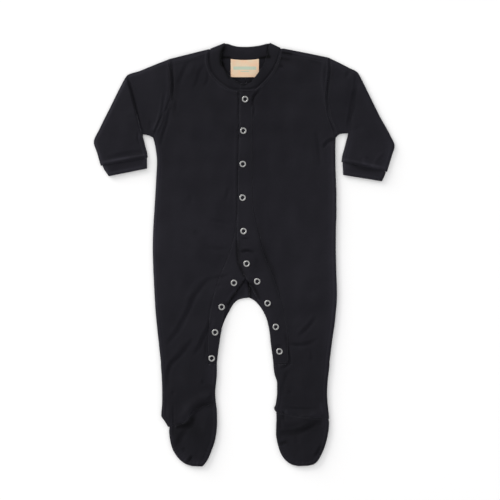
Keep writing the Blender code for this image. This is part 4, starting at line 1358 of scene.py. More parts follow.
    def wear_and_painted_light(self, xy: Array) -> Array:
        """Wear, painted sheen and painted light falloff, read between four places of the raster.

        Args:
            xy: Points in the plane.

        Returns:
            The wear at each point.
        """
        at = (xy - self.RASTER_START) / self.RASTER_STEP
        at = np.clip(at, 0.0, np.array(self.raster.shape) - 1.001)
        (i, j), (u, v) = at.astype(int).T, (at % 1.0).T
        low = self.raster[i, j] * (1.0 - v) + self.raster[i, j + 1] * v
        high = self.raster[i + 1, j] * (1.0 - v) + self.raster[i + 1, j + 1] * v
        return low * (1.0 - u) + high * u

    def shade(self, xy: Array) -> Array:
        """The painted shade and painted highlight along creases, seams and edges, as shares."""
        return sum((part.relief(xy) for part in self.painted_shades_and_highlights), np.zeros(len(xy)))

    def _wear_and_painted_light_raster(self) -> Array:
        """Wear with painted sheen, 1 on side rolls, and painted light falloff, below 0 down the
        legs and feet, on a raster.

        Returns:
            The values, x before y.
        """
        start, step = self.RASTER_START, self.RASTER_STEP
        lines = (np.arange(edge, -edge, step) for edge in start)
        grid = np.stack(np.meshgrid(*lines, indexing="ij"), axis=2)
        xy = grid.reshape(-1, 2)
        inside, _, run = self.pattern.outline.nearest(xy)
        uneven = 0.85 + 0.15 * np.sin(run / 4.1) * np.sin(run / 11.0)
        on_left = xy[:, 0] > 0.0
        pale = np.where(on_left, self.WEAR_AND_SHEEN_RIM_LEFT[0], self.WEAR_AND_SHEEN_RIM_RIGHT[0])
        width = np.where(on_left, self.WEAR_AND_SHEEN_RIM_LEFT[1], self.WEAR_AND_SHEEN_RIM_RIGHT[1])
        rim = pale * (1.0 - eased((inside - 0.4 * width) / width))
        rim *= (0.5 + 0.5 * self._side_share(xy)) * uneven
        x, y = xy.T
        legs = eased((self.LEGS[0] - y) / self.LEGS[1])
        made = rim * (1.0 - self.LEG_RIM * legs) + self.LEGS[2] * legs
        made += self.FEET[2] * eased((self.FEET[0] - y) / self.FEET[1])
        made += self.ARMS[2] * eased((np.abs(x) - self.ARMS[0]) / self.ARMS[1])
        chest = self.CHEST[2] * bell((y - self.CHEST[0]) / self.CHEST[1])
        made += self.BELLY[2] * (bell((y - self.BELLY[0]) / self.BELLY[1]) + chest)
        return made.reshape(grid.shape[:2])

    def height(self, xy: Array, lap: Array | float = 0.0) -> Array:
        """Height of the middle surface.

        A quarter round at the outline, then a broad loft that fades in with the distance from
        the outline, with folds, rolls and swells on it, and one more layer where it laps.

        Args:
            xy: Points in the plane, in any arrangement.
            lap: Share of a layer that the cloth has climbed.

        Returns:
            The heights, arranged as the points are.
        """
        flat = xy.reshape(-1, 2)
        inside, _, run = self.pattern.outline.nearest(flat)
        rim = 1.0 - np.minimum(inside / EDGE_RUN, 1.0)
        made = EDGE_LIFT * np.sqrt(1.0 - rim**2)
        made += BODY_LIFT * (1.0 - np.exp(-inside / BODY_RUN))
        relief = (self.weight * np.sin(flat @ self.wave.T + self.phase)).sum(axis=1)
        relief *= eased(inside / self.SWELL_RUN)
        for part in (*MAIN_FOLDS, *self.creases, *self.seams, *self.puckers):
            relief += part.relief(flat)
        relief += self._edge_relief(flat, inside, run)
        made = np.maximum(made + relief * eased(inside / self.RELIEF_RUN), 0.0)
        return made.reshape(xy.shape[:-1]) + FRONT_MID + STEP * lap

    def front_lap(self, xy: Array, side: Side) -> Array:
        """How far the left front has climbed onto the lap, from 0 to 1.

        Args:
            xy: Points in the plane.
            side: The wearer's side.

        Returns:
            One share for each point.
        """
        if side is Side.RIGHT:
            return np.zeros(xy.shape[:-1])
        y = xy[..., 1]
        seam = self.pattern.seam[Side.LEFT]
        levels = np.clip(y, BAND_END_Y, NECK_BASE_Y)
        seam_x = seam.x(levels.ravel()).reshape(y.shape)
        return (1.0 - eased((xy[..., 0] - seam_x) / LAP_RUN)) * self.band_lap(y)

    @staticmethod
    def band_lap(y: Array) -> Array:
        """How far the left band lies on the right one, from 0 below the crotch to 1."""
        return eased((y - LAP_END_Y) / (LAP_FULL_Y - LAP_END_Y))

    @staticmethod
    def back_relief(xy: Array) -> Array:
        """Small lifts of the back off the floor: the product of two slow waves.

        Args:
            xy: Points in the plane.

        Returns:
            One height for each point.
        """
        x, y = xy[..., 0], xy[..., 1]
        wave = np.sin(x / 19.0 + 1.1 * np.sin(y / 47.0)) * np.sin(y / 33.0 + 0.8)
        return 0.22 * np.maximum(wave, 0.0)


class Graph:
    """A material's nodes, with short calls that add and link them."""

    def __init__(self, name: str) -> None:
        """Makes a new material with a principled shader.

        Args:
            name: Name of the material.
        """
        self.material = bpy.data.materials.new(name)
        self.material.use_nodes = True
        self.tree = self.material.node_tree
        self.shader = self.tree.nodes["Principled BSDF"]

    def add(self, kind: str, **settings: object) -> bpy.types.Node:
        """Adds a node and sets its own settings.

        Args:
            kind: Blender's name of the node.
            settings: Its settings by name.

        Returns:
            The node.
        """
        node = self.tree.nodes.new(kind)
        for key, value in settings.items():
            setattr(node, key, value)
        return node

    def feed(self, target: Socket, value: Socket | float | Sequence[float]) -> None:
        """Links a socket to an input, or sets the input's own value.

        Args:
            target: The input.
            value: A socket, or the value itself.
        """
        if isinstance(value, bpy.types.NodeSocket):
            self.tree.links.new(value, target)
        else:
            target.default_value = value

    def math(self, operation: str, *values: Socket | float) -> Socket:
        """Adds a Math node with its inputs and returns its result.

        Args:
            operation: Blender's name of the operation.
            values: Its inputs.

        Returns:
            The result.
        """
        node = self.add("ShaderNodeMath", operation=operation)
        for target, value in zip(node.inputs, values):
            self.feed(target, value)
        return node.outputs[0]

    def cut_place(self) -> tuple[Socket, Socket]:
        """The place in the flat cut, in metres, as two sockets.

        Returns:
            Place across and place up.
        """
        chart = self.add("ShaderNodeUVMap", uv_map=CUT_MAP)
        parts = self.add("ShaderNodeSeparateXYZ")
        self.tree.links.new(chart.outputs[0], parts.inputs[0])
        return parts.outputs[0], parts.outputs[1]

    def noise(self, scale: float, detail: float, roughness: float = 0.5) -> Socket:
        """Noise over the object's own place, its scale in cells a metre.

        Args:
            scale: Cells a metre.
            detail: Number of octaves.
            roughness: Share of the finer octaves.

        Returns:
            The noise, from 0 to 1.
        """
        place = self.add("ShaderNodeTexCoord")
        node = self.add("ShaderNodeTexNoise")
        self.tree.links.new(place.outputs["Object"], node.inputs["Vector"])
        node.inputs["Scale"].default_value = scale
        node.inputs["Detail"].default_value = detail
        node.inputs["Roughness"].default_value = roughness
        return node.outputs[0]

    def mix(self, share: Socket | float, first: object, second: object) -> Socket:
        """Mixes two colours by a share.

        Args:
            share: Share of the second colour.
            first: One colour.
            second: The other colour.

        Returns:
            The mixed colour.
        """
        node = self.add("ShaderNodeMix", data_type="RGBA")
        self.feed(node.inputs[0], share)
        self.feed(node.inputs[6], first)
        self.feed(node.inputs[7], second)
        return node.outputs[2]

    def ranged(
        self, value: Socket, low: float, high: float, new_low: float, new_high: float
    ) -> Socket:
        """Maps a value from one range to another, without going outside it.

        Args:
            value: The value.
            low: Start of its range.
            high: End of its range.
            new_low: Start of the new range.
            new_high: End of the new range.

        Returns:
            The new value.
        """
        node = self.add("ShaderNodeMapRange")
        for target, number in zip(node.inputs, (value, low, high, new_low, new_high)):
            self.feed(target, number)
        return node.outputs[0]

    def bump(self, height: Socket, depth: float, strength: float = 1.0) -> None:
        """Bumps the surface by a height from 0 to 1, times a depth in metres.

        Args:
            height: The height.
            depth: Depth in metres.
            strength: Share of the effect.
        """
        node = self.add("ShaderNodeBump")
        node.inputs["Strength"].default_value = strength
        node.inputs["Distance"].default_value = depth
        self.tree.links.new(height, node.inputs["Height"])
        self.tree.links.new(node.outputs[0], self.shader.inputs["Normal"])

    def paint(self, colour: Socket) -> None:
        """Gives the surface its colour."""
        self.feed(self.shader.inputs["Base Color"], colour)

    def set(self, **values: float | Sequence[float]) -> None:
        """Sets the shader's own inputs, named with _ for a space."""
        for key, value in values.items():
            self.shader.inputs[key.replace("_", " ")].default_value = value


@dataclass(frozen=True)
class KnitFinish:
    """Fine cotton knit: upright columns of loops, raised, with a washed colour. In metres.

    A column's height is 1 minus the square of the distance from its middle, and a loop is a
    sine wave up the column, bent down at its sides into a V.
    """

    name: str
    column: float
    loop: float
    depth: float
    ridge: float = 0.6
    deep: tuple[float, float, float] = (0.0098, 0.0092, 0.0124)
    worn: tuple[float, float, float] = (0.0124, 0.0116, 0.0154)
    fluff: float = 0.4
    darkest: float = 0.08
    sheen: float = 0.22
    sheen_tint: tuple[float, float, float, float] = (0.75, 0.76, 0.86, 1.0)

    def material(self) -> bpy.types.Material:
        """Builds the finish.

        Returns:
            The new material.
        """
        graph = Graph(self.name)
        u, v = graph.cut_place()
        across = graph.math("PINGPONG", graph.math("DIVIDE", u, self.column), 0.5)
        across = graph.math("MULTIPLY", across, 2.0)
        bent = graph.math("MULTIPLY_ADD", across, 0.5, graph.math("DIVIDE", v, self.loop))
        wave = graph.math("SINE", graph.math("MULTIPLY", bent, 2 * np.pi))
        ridge = graph.math("SUBTRACT", 1.0, graph.math("MULTIPLY", across, across))
        loops = graph.math("MULTIPLY_ADD", wave, 0.5 - self.ridge / 2, 0.5 + self.ridge / 2)
        height = graph.math("MULTIPLY", ridge, loops)
        fluff = graph.noise(2600.0, 3.0, 0.7)
        graph.bump(graph.math("MULTIPLY_ADD", fluff, self.fluff, height), self.depth)
        cloud = graph.ranged(graph.noise(16.0, 5.0, 0.62), 0.32, 0.68, 0.0, 1.0)
        colour = graph.mix(cloud, (*self.deep, 1.0), (*self.worn, 1.0))
        # Painted shade: the colour darkens in the hollows between the loops and pales on their
        # ridges
        shade = graph.ranged(height, 0.0, 1.0, 0.7, 1.1)
        heather = graph.ranged(graph.noise(900.0, 2.0), 0.3, 0.7, 0.9, 1.1)
        # The colour is scaled by the tone attribute: wear, painted sheen, painted light falloff
        # and painted shade and highlight strokes
        wear_and_painted_light = graph.add("ShaderNodeAttribute", attribute_name=WEAR_AND_PAINTED_LIGHT).outputs["Fac"]
        tone_from_wear_and_painted_light = graph.math("MAXIMUM", graph.math("ADD", wear_and_painted_light, 1.0), self.darkest)
        tone = graph.math("MULTIPLY", graph.math("MULTIPLY", shade, heather), tone_from_wear_and_painted_light)
        grey = graph.add("ShaderNodeCombineColor")
        for target in grey.inputs[:3]:
            graph.feed(target, tone)
        shaded = graph.add("ShaderNodeMix", data_type="RGBA", blend_type="MULTIPLY")
        for number, value in ((0, 1.0), (6, colour), (7, grey.outputs[0])):
            graph.feed(shaded.inputs[number], value)
        graph.paint(shaded.outputs[2])
        graph.set(
            Roughness=0.93,
            Specular_IOR_Level=0.12,
            Sheen_Weight=self.sheen,
            Sheen_Roughness=0.3,
            Sheen_Tint=self.sheen_tint,
        )
        return graph.material


@dataclass(frozen=True)
class ThreadFinish:
    """Sewing thread: two plies whose slant is a sine along the stitch. In metres."""

    name: str
    colour: tuple[float, float, float]
    ply: float = 0.00045
    depth: float = 0.00008
    shine: float = 1.25

    def material(self) -> bpy.types.Material:
        """Builds the finish.

        Returns:
            The new material.
        """
        graph = Graph(self.name)
        u, v = graph.cut_place()
        slant = graph.math("DIVIDE", graph.math("ADD", v, u), self.ply)
        twist = graph.math("SINE", graph.math("MULTIPLY", slant, 2 * np.pi))
        graph.bump(graph.math("MULTIPLY_ADD", twist, 0.5, 0.5), self.depth)
        light = tuple(self.shine * part for part in self.colour)
        share = graph.noise(120.0, 2.0)
        colour = graph.mix(share, (*self.colour, 1.0), (*light, 1.0))
        graph.paint(colour)
        graph.set(Roughness=0.7, Specular_IOR_Level=0.25, Sheen_Weight=0.05)
        return graph.material


@dataclass(frozen=True)
class NickelFinish:
    """Plated brass: bright, with fine tumbling marks in its gloss. Their depth is in metres."""

    name: str = "nickel"
    colour: tuple[float, float, float] = (0.41, 0.405, 0.39)
    dullest: float = 0.82
    depth: float = 0.00002

    def material(self) -> bpy.types.Material:
        """Builds the finish.

        Returns:
            The new material.
        """
        graph = Graph(self.name)
        marks = graph.noise(1400.0, 4.0, 0.65)
        graph.feed(graph.shader.inputs["Roughness"], graph.ranged(marks, 0.3, 0.7, 0.2, 0.36))
        dull = tuple(self.dullest * part for part in self.colour)
        tone = graph.ranged(graph.noise(260.0, 2.0), 0.35, 0.65, 0.0, 1.0)
        colour = graph.mix(tone, (*dull, 1.0), (*self.colour, 1.0))
        graph.paint(colour)
        graph.bump(marks, self.depth)
        graph.set(Metallic=1.0)
        return graph.material


@dataclass(frozen=True)
class LabelFinish:
    """Woven satin label: peach, with a fine weave and two plain pale teal stripes. Its width
    and height are in millimetres, and its threads in metres."""

    name: str
    width: float
    height: float
    peach: tuple[float, float, float] = (0.72, 0.48, 0.315)
    cream: tuple[float, float, float] = (0.66, 0.53, 0.37)
    teal: tuple[float, float, float] = (0.39, 0.505, 0.395)
    thread: float = 0.00032
    depth: float = 0.00006
    stripes: tuple[tuple[float, float, float], ...] = ((0.50, 0.088, 0.80), (0.32, 0.022, 0.30))

    def _stripe(self, graph: Graph, u: Socket, v: Socket, place: Sequence[float]) -> Socket:
        """A soft-edged stripe: 1 inside its height and width shares of the label, 0 outside.

        Args:
            graph: The material's nodes.
            u: Place across the label.
            v: Place up the label.
            place: Middle height, half height and width, as shares of the label.

        Returns:
            The stripe's strength.
        """
        middle, half, width = place
        rise = graph.math("ABSOLUTE", graph.math("SUBTRACT", v, middle * self.height * MM))
        level = half * self.height * MM
        up = graph.ranged(rise, level * 0.8, level * 1.2, 1.0, 0.0)
        off = graph.math("ABSOLUTE", graph.math("SUBTRACT", u, 0.5 * self.width * MM))
        end = 0.5 * width * self.width * MM
        return graph.math("MULTIPLY", up, graph.ranged(off, end, end * 1.04, 1.0, 0.0))

    def material(self) -> bpy.types.Material:
        """Builds the finish.

        Returns:
            The new material.
        """
        graph = Graph(self.name)
        u, v = graph.cut_place()
        warp = graph.math("SINE", graph.math("MULTIPLY", u, 2 * np.pi / self.thread))
        weft = graph.math("SINE", graph.math("MULTIPLY", v, 2 * np.pi / self.thread))
        weave = graph.math("MULTIPLY_ADD", graph.math("MULTIPLY", warp, weft), 0.5, 0.5)
        graph.bump(weave, self.depth)
        cloud = graph.ranged(graph.noise(90.0, 3.0), 0.35, 0.65, 0.0, 1.0)
        colour = graph.mix(cloud, (*self.peach, 1.0), (*self.cream, 1.0))
        for place in self.stripes:
            share = graph.math("MULTIPLY", self._stripe(graph, u, v, place), 0.85)
            colour = graph.mix(share, colour, (*self.teal, 1.0))
        graph.paint(colour)
        graph.set(Roughness=0.55, Specular_IOR_Level=0.35, Sheen_Weight=0.08)
        return graph.material


@dataclass(frozen=True)
class FloorFinish:
    """Plain white paper."""

    name: str = "paper"
    low: tuple[float, float, float] = (0.915, 0.905, 0.89)
    high: tuple[float, float, float] = (0.925, 0.915, 0.90)

    def material(self) -> bpy.types.Material:
        """Builds the finish.

        Returns:
            The new material.
        """
        graph = Graph(self.name)
        tone = graph.ranged(graph.noise(3.0, 2.0), 0.3, 0.7, 0.0, 1.0)
        colour = graph.mix(tone, (*self.low, 1.0), (*self.high, 1.0))
        graph.paint(colour)
        graph.set(Roughness=0.9, Specular_IOR_Level=0.1)
        return graph.material


@dataclass
class Workroom:
    """What every sub-assembly is made from: the pattern, the loft and the finishes."""

    pattern: Pattern = field(default_factory=Pattern)

    def __post_init__(self) -> None:
        """Makes the loft and the finishes that several pieces share."""
        self.loft = Loft(self.pattern)
        jersey = KnitFinish("jersey", column=0.00092, loop=0.00078, depth=0.00016)
        rib = KnitFinish("rib", column=0.0015, loop=0.0009, depth=0.00032, ridge=0.8)
        self.jersey, self.rib = jersey.material(), rib.material()
        self.thread = ThreadFinish("thread", (0.0150, 0.0145, 0.0185)).material()

    def lay(
        self,
        name: str,
        form: Form,
        slot: Slot,
        stands_for: str,
        flat: tuple[float, float],
        area: float,
        material: bpy.types.Material | None = None,
        shade: float = 0.0,
    ) -> bpy.types.Object:
        """Makes a piece of cloth, in its place, and logs the size of the sheet that it was cut
        from.

        Args:
            name: Name of the piece.
            form: Its closed mesh.
            slot: Material slot that it belongs to.
            stands_for: The plain node that it replaces.
            flat: Width and length of its cut, in millimetres.
            area: Area of its cut, in square millimetres. Not used.
            material: Its finish, if not the slot's own.
            shade: What it adds to the cloth's tone, as a share.

        Returns:
            The new object.
        """
        finish = material or (self.rib if slot is Slot.RIB else self.jersey)
        made = form.to_object(name, finish)
        wear_and_painted_light = made.data.attributes.new(WEAR_AND_PAINTED_LIGHT, "FLOAT", "POINT")
        flat_place, top = form.points[:, :2], form.points[:, 2] > BACK_MID
        # The tone attribute: wear with painted sheen and painted light falloff, painted shade and
        # highlight strokes on the upper skins, and the piece's own tone
        amount = self.loft.wear_and_painted_light(flat_place) + self.loft.shade(flat_place) * top + shade
        wear_and_painted_light.data.foreach_set("value", amount.astype(np.float32))
        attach(made, BODY)
        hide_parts(stands_for)
        LOG.info("%s: %d faces, cut %.0f by %.0f mm", name, len(form.quads), *flat)
        return made

    def lay_panel(self, node: str, kind: str, grid: Array, height: Array, cut: Array) -> None:
        """Makes a panel of one layer from its flat grid and its height over the floor.

        Args:
            node: The plain node that it replaces.
            kind: What the cloth is called in the piece's name.
            grid: Points in the plane, without the seams' share.
            height: Height of its middle surface.
            cut: Points of the whole cut in the plane.
        """
        form = wall(np.dstack([grid, height]), grid)
        flat = tuple(np.ptp(cut.reshape(-1, 2), axis=0).tolist())
        self.lay(f"{node}_{kind}", form, Slot.JERSEY, node, flat, flat_area(cut))

    def back_height(self, grid: Array, rim: float, run: float) -> Array:
        """Height of a layer on the floor, which lifts a little away from the outline.

        Args:
            grid: Points in the plane.
            rim: How far inside the outline it stays flat.
            run: How far on it lifts in full.

        Returns:
            Height of its middle surface at each point.
        """
        inside = self.pattern.outline.nearest(grid.reshape(-1, 2))[0].reshape(grid.shape[:2])
        return BACK_MID + self.loft.back_relief(grid) * eased((inside - rim) / run)


@dataclass
class Body:
    """Fronts and backs, each a half with its leg, joined at shoulders, sides and centre back."""

    room: Workroom
    columns: int = 84
    back_columns: int = 64
    spacing: float = 1.6
    flat_rim: float = 6.0
    lift_run: float = 20.0

    def build(self) -> None:
        """Builds the two backs and the two fronts."""
        for side in Side:
            self._back(side)
            self._front(side)

    def _back(self, side: Side) -> None:
        """Lays a back half flat on the floor, with small lifts away from its edges.

        Args:
            side: The wearer's side.
        """
        pattern = self.room.pattern
        cut = level_grid(pattern.outer[side], pattern.back[side], self.back_columns, self.spacing)
        grid = drawn_in(facing_up(cut), SEAM_INSET, tips=True)
        height = self.room.back_height(grid, self.flat_rim, self.lift_run)
        self.room.lay_panel(f"back_{side.value}", "jersey", grid, height, cut)

    def _front(self, side: Side) -> None:
        """Lays a front half over the back.

        Args:
            side: The wearer's side.
        """
        pattern, loft = self.room.pattern, self.room.loft
        cut = level_grid(pattern.outer[side], pattern.front[side], self.columns, self.spacing)
        grid = drawn_in(facing_up(cut), SEAM_INSET, tips=True)
        height = loft.height(grid, loft.front_lap(grid, side))
        self.room.lay_panel(f"front_{side.value}", "jersey", grid, height, cut)


@dataclass
class Plackets:
    """The two bands that carry the poppers, down the centre front and along each leg."""

    room: Workroom
    columns: int = 17
    spacing: float = 1.7

    def build(self) -> None:
        """Builds the under band on the right and the over band on the left."""
        pattern, loft = self.room.pattern, self.room.loft
        for side in Side:
            cut = level_grid(pattern.seam[side], pattern.free[side], self.columns, self.spacing)
            grid = drawn_in(facing_up(cut), SEAM_INSET)
            lap = loft.band_lap(grid[..., 1]) if side is Side.LEFT else 0.0
            height = loft.height(grid, lap)
            self.room.lay_panel(f"placket_{side.value}", "band", grid, height, cut)


@dataclass
class FlatTube:
    """A tube of cloth pressed flat on the floor.

    Its section is a closed loop: the front surface at the loft's height, half a circle round
    each folded edge, and the back straight on the floor.
    """

    room: Workroom
    columns: int = 60
    turns: int = 7
    spacing: float = 1.5
    ease: float = 3.5

    def form(self, first_row: Array, sections: Array) -> tuple[Form, tuple[float, float], float]:
        """Works out the tube.

        Args:
            first_row: The seam at its upper end.
            sections: Rows of start x, y and end x, y down to its lower end.

        Returns:
            The closed form, its cut's width all round and length, and the cut's area.
        """
        ends = np.concatenate([[[*first_row[0], *first_row[-1]]], sections])
        width = np.linalg.norm(ends[:, 2:] - ends[:, :2], axis=1)
        edge = (WALL / 2 + FOLD_RADIUS) / width[:, None]
        shares = edge + (1.0 - 2.0 * edge) * crowded(self.columns, 0.4)
        front = self._shortened(ruled_grid(first_row, sections, shares, self.spacing))
        across = front[:, -1] - front[:, 0]
        across /= np.linalg.norm(across, axis=1, keepdims=True)
        edges = (front[:, :1], front[:, -1:])
        from_edge = np.minimum(*(np.linalg.norm(front - line, axis=2) for line in edges))
        rise = self.room.loft.height(front) - FRONT_MID
        top = np.dstack([front, FRONT_MID + rise * eased(from_edge / self.ease)])
        bottom = np.dstack([front[:, ::-1], np.full(front.shape[:2], BACK_MID)])
        angle = np.linspace(0.0, np.pi, self.turns + 2)[1:-1]
        last_turn = self._turn(front[:, -1], across, angle)
        first_turn = self._turn(front[:, 0], -across, angle)[:, ::-1]
        middle = np.concatenate([top, last_turn, bottom, first_turn], axis=1)
        round_run = self._round_run(middle)
        down = np.linalg.norm(np.diff(middle, axis=0), axis=2).mean(axis=1)
        down = np.concatenate([[0.0], np.cumsum(down)])
        chart = np.stack([round_run, np.repeat(-down[:, None], round_run.shape[1], 1)], axis=2)
        if np.cross(across[0], front[-1, 0] - front[0, 0]) > 0:
            middle, chart = middle[:, ::-1], chart[:, ::-1]
        flat = (float(2 * width.max()), self._longest(front))
        return wall(middle, chart, tube=True), flat, 2.0 * flat_area(front)

    def _shortened(self, front: Array) -> Array:
        """Draws both open ends in by the seam's inset, easing the rows between.

        Args:
            front: The front layer, rows by columns.

        Returns:
            The shorter layer.
        """
        share = np.linspace(0.0, 1.0, len(front))[:, None, None]
        start = front[1] - front[0]
        end = front[-2] - front[-1]
        start *= SEAM_INSET / np.linalg.norm(start, axis=1, keepdims=True)
        end *= SEAM_INSET / np.linalg.norm(end, axis=1, keepdims=True)
        return front + (1.0 - share) * start + share * end

    @staticmethod
    def _turn(edge: Array, out: Array, angle: Array) -> Array:
        """Half a circle from the front layer round to the back one, beyond an edge.

        Args:
            edge: The front layer's outermost column.
            out: Way out of the tube at each row.
            angle: Places round the half circle.

        Returns:
            Points, rows by angles.
        """
        place = edge[:, None, :] + FOLD_RADIUS * np.sin(angle)[None, :, None] * out[:, None, :]
        height = np.broadcast_to(FOLD_MID + FOLD_RADIUS * np.cos(angle), place.shape[:2])
        return np.dstack([place, height])

    @staticmethod
    def _round_run(middle: Array) -> Array:
        """Length round the tube up to each column, with the whole round at the end.

        Args:
            middle: Points, rows by columns.

        Returns:
            Lengths, rows by columns and one more.
        """
        closed = np.concatenate([middle, middle[:, :1]], axis=1)
        steps = np.linalg.norm(np.diff(closed, axis=1), axis=2)
        return np.concatenate([np.zeros((len(middle), 1)), np.cumsum(steps, axis=1)], axis=1)

    @staticmethod
    def _longest(front: Array) -> float:
        """Length of the longest column."""
        return float(np.linalg.norm(np.diff(front, axis=0), axis=2).sum(axis=0).max())


@dataclass
class Sleeves:
    """Long sleeves folded flat at their top edge, and their rib cuffs."""

    room: Workroom
    cuff_columns: int = 40
    cuff_spacing: float = 1.1

    def build(self) -> None:
        """Builds both sleeves and both cuffs."""
        pattern = self.room.pattern
        for side in Side:
            made = FlatTube(self.room).form(pattern.armhole(side), pattern.sleeve[side])
            self._lay(f"sleeve_{side.value}", Slot.JERSEY, *made)
            cuff = FlatTube(self.room, self.cuff_columns, spacing=self.cuff_spacing, ease=2.5)
            rows = pattern.cuff[side]
            self._lay(f"cuff_{side.value}", Slot.RIB, *cuff.form(rows[0].reshape(2, 2), rows[1:]))

    def _lay(
        self, node: str, slot: Slot, form: Form, flat: tuple[float, float], area: float
    ) -> None:
        """Makes one tube, for the node of its name."""
        self.room.lay(f"{node}_{slot.value}", form, slot, node, flat, area)


@dataclass
class Feet:
    """The upper and the sole of each foot, below the ankle seam."""

    room: Workroom
    columns: int = 58
    spacing: float = 1.4
    flat_rim: float = 5.0
    lift_run: float = 15.0

    def build(self) -> None:
        """Builds both feet."""
        pattern = self.room.pattern
        for side in Side:
            seam = pattern.ankle(side)[::-1]
            sections = pattern.foot[side]
            shares = np.tile(crowded(self.columns), (len(sections) + 1, 1))
            cut = ruled_grid(seam, sections, shares, self.spacing)
            grid = drawn_in(facing_up(cut), SEAM_INSET)
            sole = self.room.back_height(grid, self.flat_rim, self.lift_run)
            for kind, height in (("sole", sole), ("upper", self.room.loft.height(grid))):
                self.room.lay_panel(f"foot_{kind}_{side.value}", "jersey", grid, height, cut)


@dataclass
class Neckband:
    """The neckband, one strip of rib from its end on the lap round to its end under it."""

    room: Workroom
    columns: int = 15
    spacing: float = 1.5
    turns: int = 7
    bulge: float = 0.3
    lapped: float = 0.9
    lift: float = 0.12
    shade: float = -0.15

    def build(self) -> None:
        """Builds the strip: a ribbon with a soft crown across it, turned at both shoulders."""
        left_turn, left_out = self._fold(np.array(BAND_LEFT_FOLD))
        right_turn, right_out = self._fold(np.array(BAND_RIGHT_FOLD))
        left = np.array([*BAND_LEFT_FRONT, left_turn])
        right = np.array([right_turn, *BAND_RIGHT_FRONT])
        back = np.array([left_turn, *BAND_BACK, right_turn])
        back[1:-1, 1] -= self.lapped
        parts = [
            self._layer(self._smooth(left), on_lap=True),
            self._round(left_turn, left_out),
            self._flat(self._smooth(back)),
            self._round(right_turn, right_out)[::-1],
            self._layer(self._smooth(right), on_lap=False),
        ]
        middle = np.concatenate(parts)
        run = run_along(middle[:, self.columns // 2])
        across = run_along(middle[0])
        chart = np.dstack(np.meshgrid(run, across, indexing="ij"))
        form = wall(middle, chart)
        length = np.linalg.norm(np.diff(middle, axis=0), axis=2).sum(axis=0).max()
        width = np.linalg.norm(np.diff(middle, axis=1), axis=2).sum(axis=1)
        area = float(width.mean() * run[-1])
        flat = (float(width.max()), float(length))
        self.room.lay("neckband_rib", form, Slot.RIB, "neckband", flat, area, shade=self.shade)

    def _fold(self, fold: Array) -> tuple[Array, Array]:
        """The last flat station before a shoulder fold, and the fold's outward direction.

        Args:
            fold: Where the band folds, as seam x, y and edge x, y.

        Returns:
            The station, and the direction.
        """
        along = (fold[2:] - fold[:2]) / np.linalg.norm(fold[2:] - fold[:2])
        out = np.array([along[1], -along[0]])
        out *= np.sign(out[0] * fold[0])
        inward = -out * (FOLD_RADIUS + WALL / 2)
        return fold + np.concatenate([inward, inward]), out

    def _smooth(self, stations: Array) -> Array:
        """Stations as a fair grid of points across the band, from the seam to the edge.

        Args:
            stations: Rows of seam x, y and edge x, y.

        Returns:
            Points in the plane.
        """
        fine = trace(stations, self.spacing * 1.4)
        seam, edge = fine[:, None, :2], fine[:, None, 2:]
        width = np.linalg.norm(edge - seam, axis=2, keepdims=True)
        share = crowded(self.columns, 0.4)[None, :, None]
        share = (SEAM_INSET + share * (width - SEAM_INSET - RIM_REACH)) / width
        return seam + (edge - seam) * share

    def _crown(self) -> Array:
        """A soft crown across the band: a parabola, zero at the seam and at the edge."""
        share = crowded(self.columns, 0.4)
        return self.bulge * (1.0 - (2.0 * share - 1.0) ** 2)

    def _layer(self, grid: Array, on_lap: bool) -> Array:
        """A stretch of the band on the front, over the lap or under it.

        Args:
            grid: Points in the plane.
            on_lap: Whether the stretch lies on the lap.

        Returns:
            Points of the middle surface.
        """
        loft = self.room.loft
        seam_x = TORSO[0][5]
        lap = (1.0 - eased((grid[..., 0] - seam_x) / LAP_RUN)) if on_lap else 0.0
        height = loft.height(grid, lap) + self._crown()
        return np.dstack([grid, height])

    def _flat(self, grid: Array) -> Array:
        """The stretch of the band on the back, on the floor."""
        inner = grid[1:-1]
        return np.dstack([inner, np.full(inner.shape[:2], BACK_MID + self.lift)])

    def _round(self, station: Array, out: Array) -> Array:
        """Half a circle from the front layer to the back one at a shoulder.

        Args:
            station: The last flat station.
            out: The fold's outward direction.

        Returns:
            Points of the middle surface.
        """
        grid = self._smooth(np.stack([station, station + 1e-3]))[0]
        angle = np.linspace(0.0, np.pi, self.turns + 2)[1:-1, None, None]
        place = grid[None] + FOLD_RADIUS * np.sin(angle) * out
        height = np.broadcast_to(FOLD_MID + FOLD_RADIUS * np.cos(angle[..., 0]), place.shape[:2])
        return np.dstack([place, height])


@dataclass
class NeckLabel:
    """A woven label inside the back neck; the line of stitches round it is not built."""

    room: Workroom
    left: float = -19.5
    right: float = 21.4
    top: float = 283.9
    bottom: float = 257.4
    sag: float = 1.5
    thickness: float = 0.5
    gap: float = 0.25
    columns: int = 44
    rows: int = 28
    wave: float = 0.12

    def build(self) -> None:
        """Builds the label: a flat sheet whose top edge sags in a parabola."""
        u = np.linspace(-1.0, 1.0, self.columns)[None, :]
        v = np.linspace(0.0, 1.0, self.rows)[:, None]
        x = (self.left + self.right) / 2 + u * (self.right - self.left) / 2 + 0.0 * v
        top = self.top - self.sag * (1.0 - u**2)
        y = top + (self.bottom - top) * v
        grid = drawn_in(facing_up(np.dstack([x, y])), RIM_REACH)
        lift = self.wave * np.sin(grid[..., 0] / 6.0 + 0.4) * np.sin(grid[..., 1] / 7.0)
        height = WALL + self.gap + self.thickness / 2 + self.wave + lift
        chart = grid - np.array([self.left, self.bottom])
        form = wall(np.dstack([grid, height]), chart, thickness=self.thickness)
        size = (self.right - self.left, self.top - self.bottom)
        satin = LabelFinish("label_satin", *size).material()
        area = flat_area(np.dstack([x, y]))
        self.room.lay("neck_label_satin", form, Slot.LABEL, "neck_label", size, area, satin)


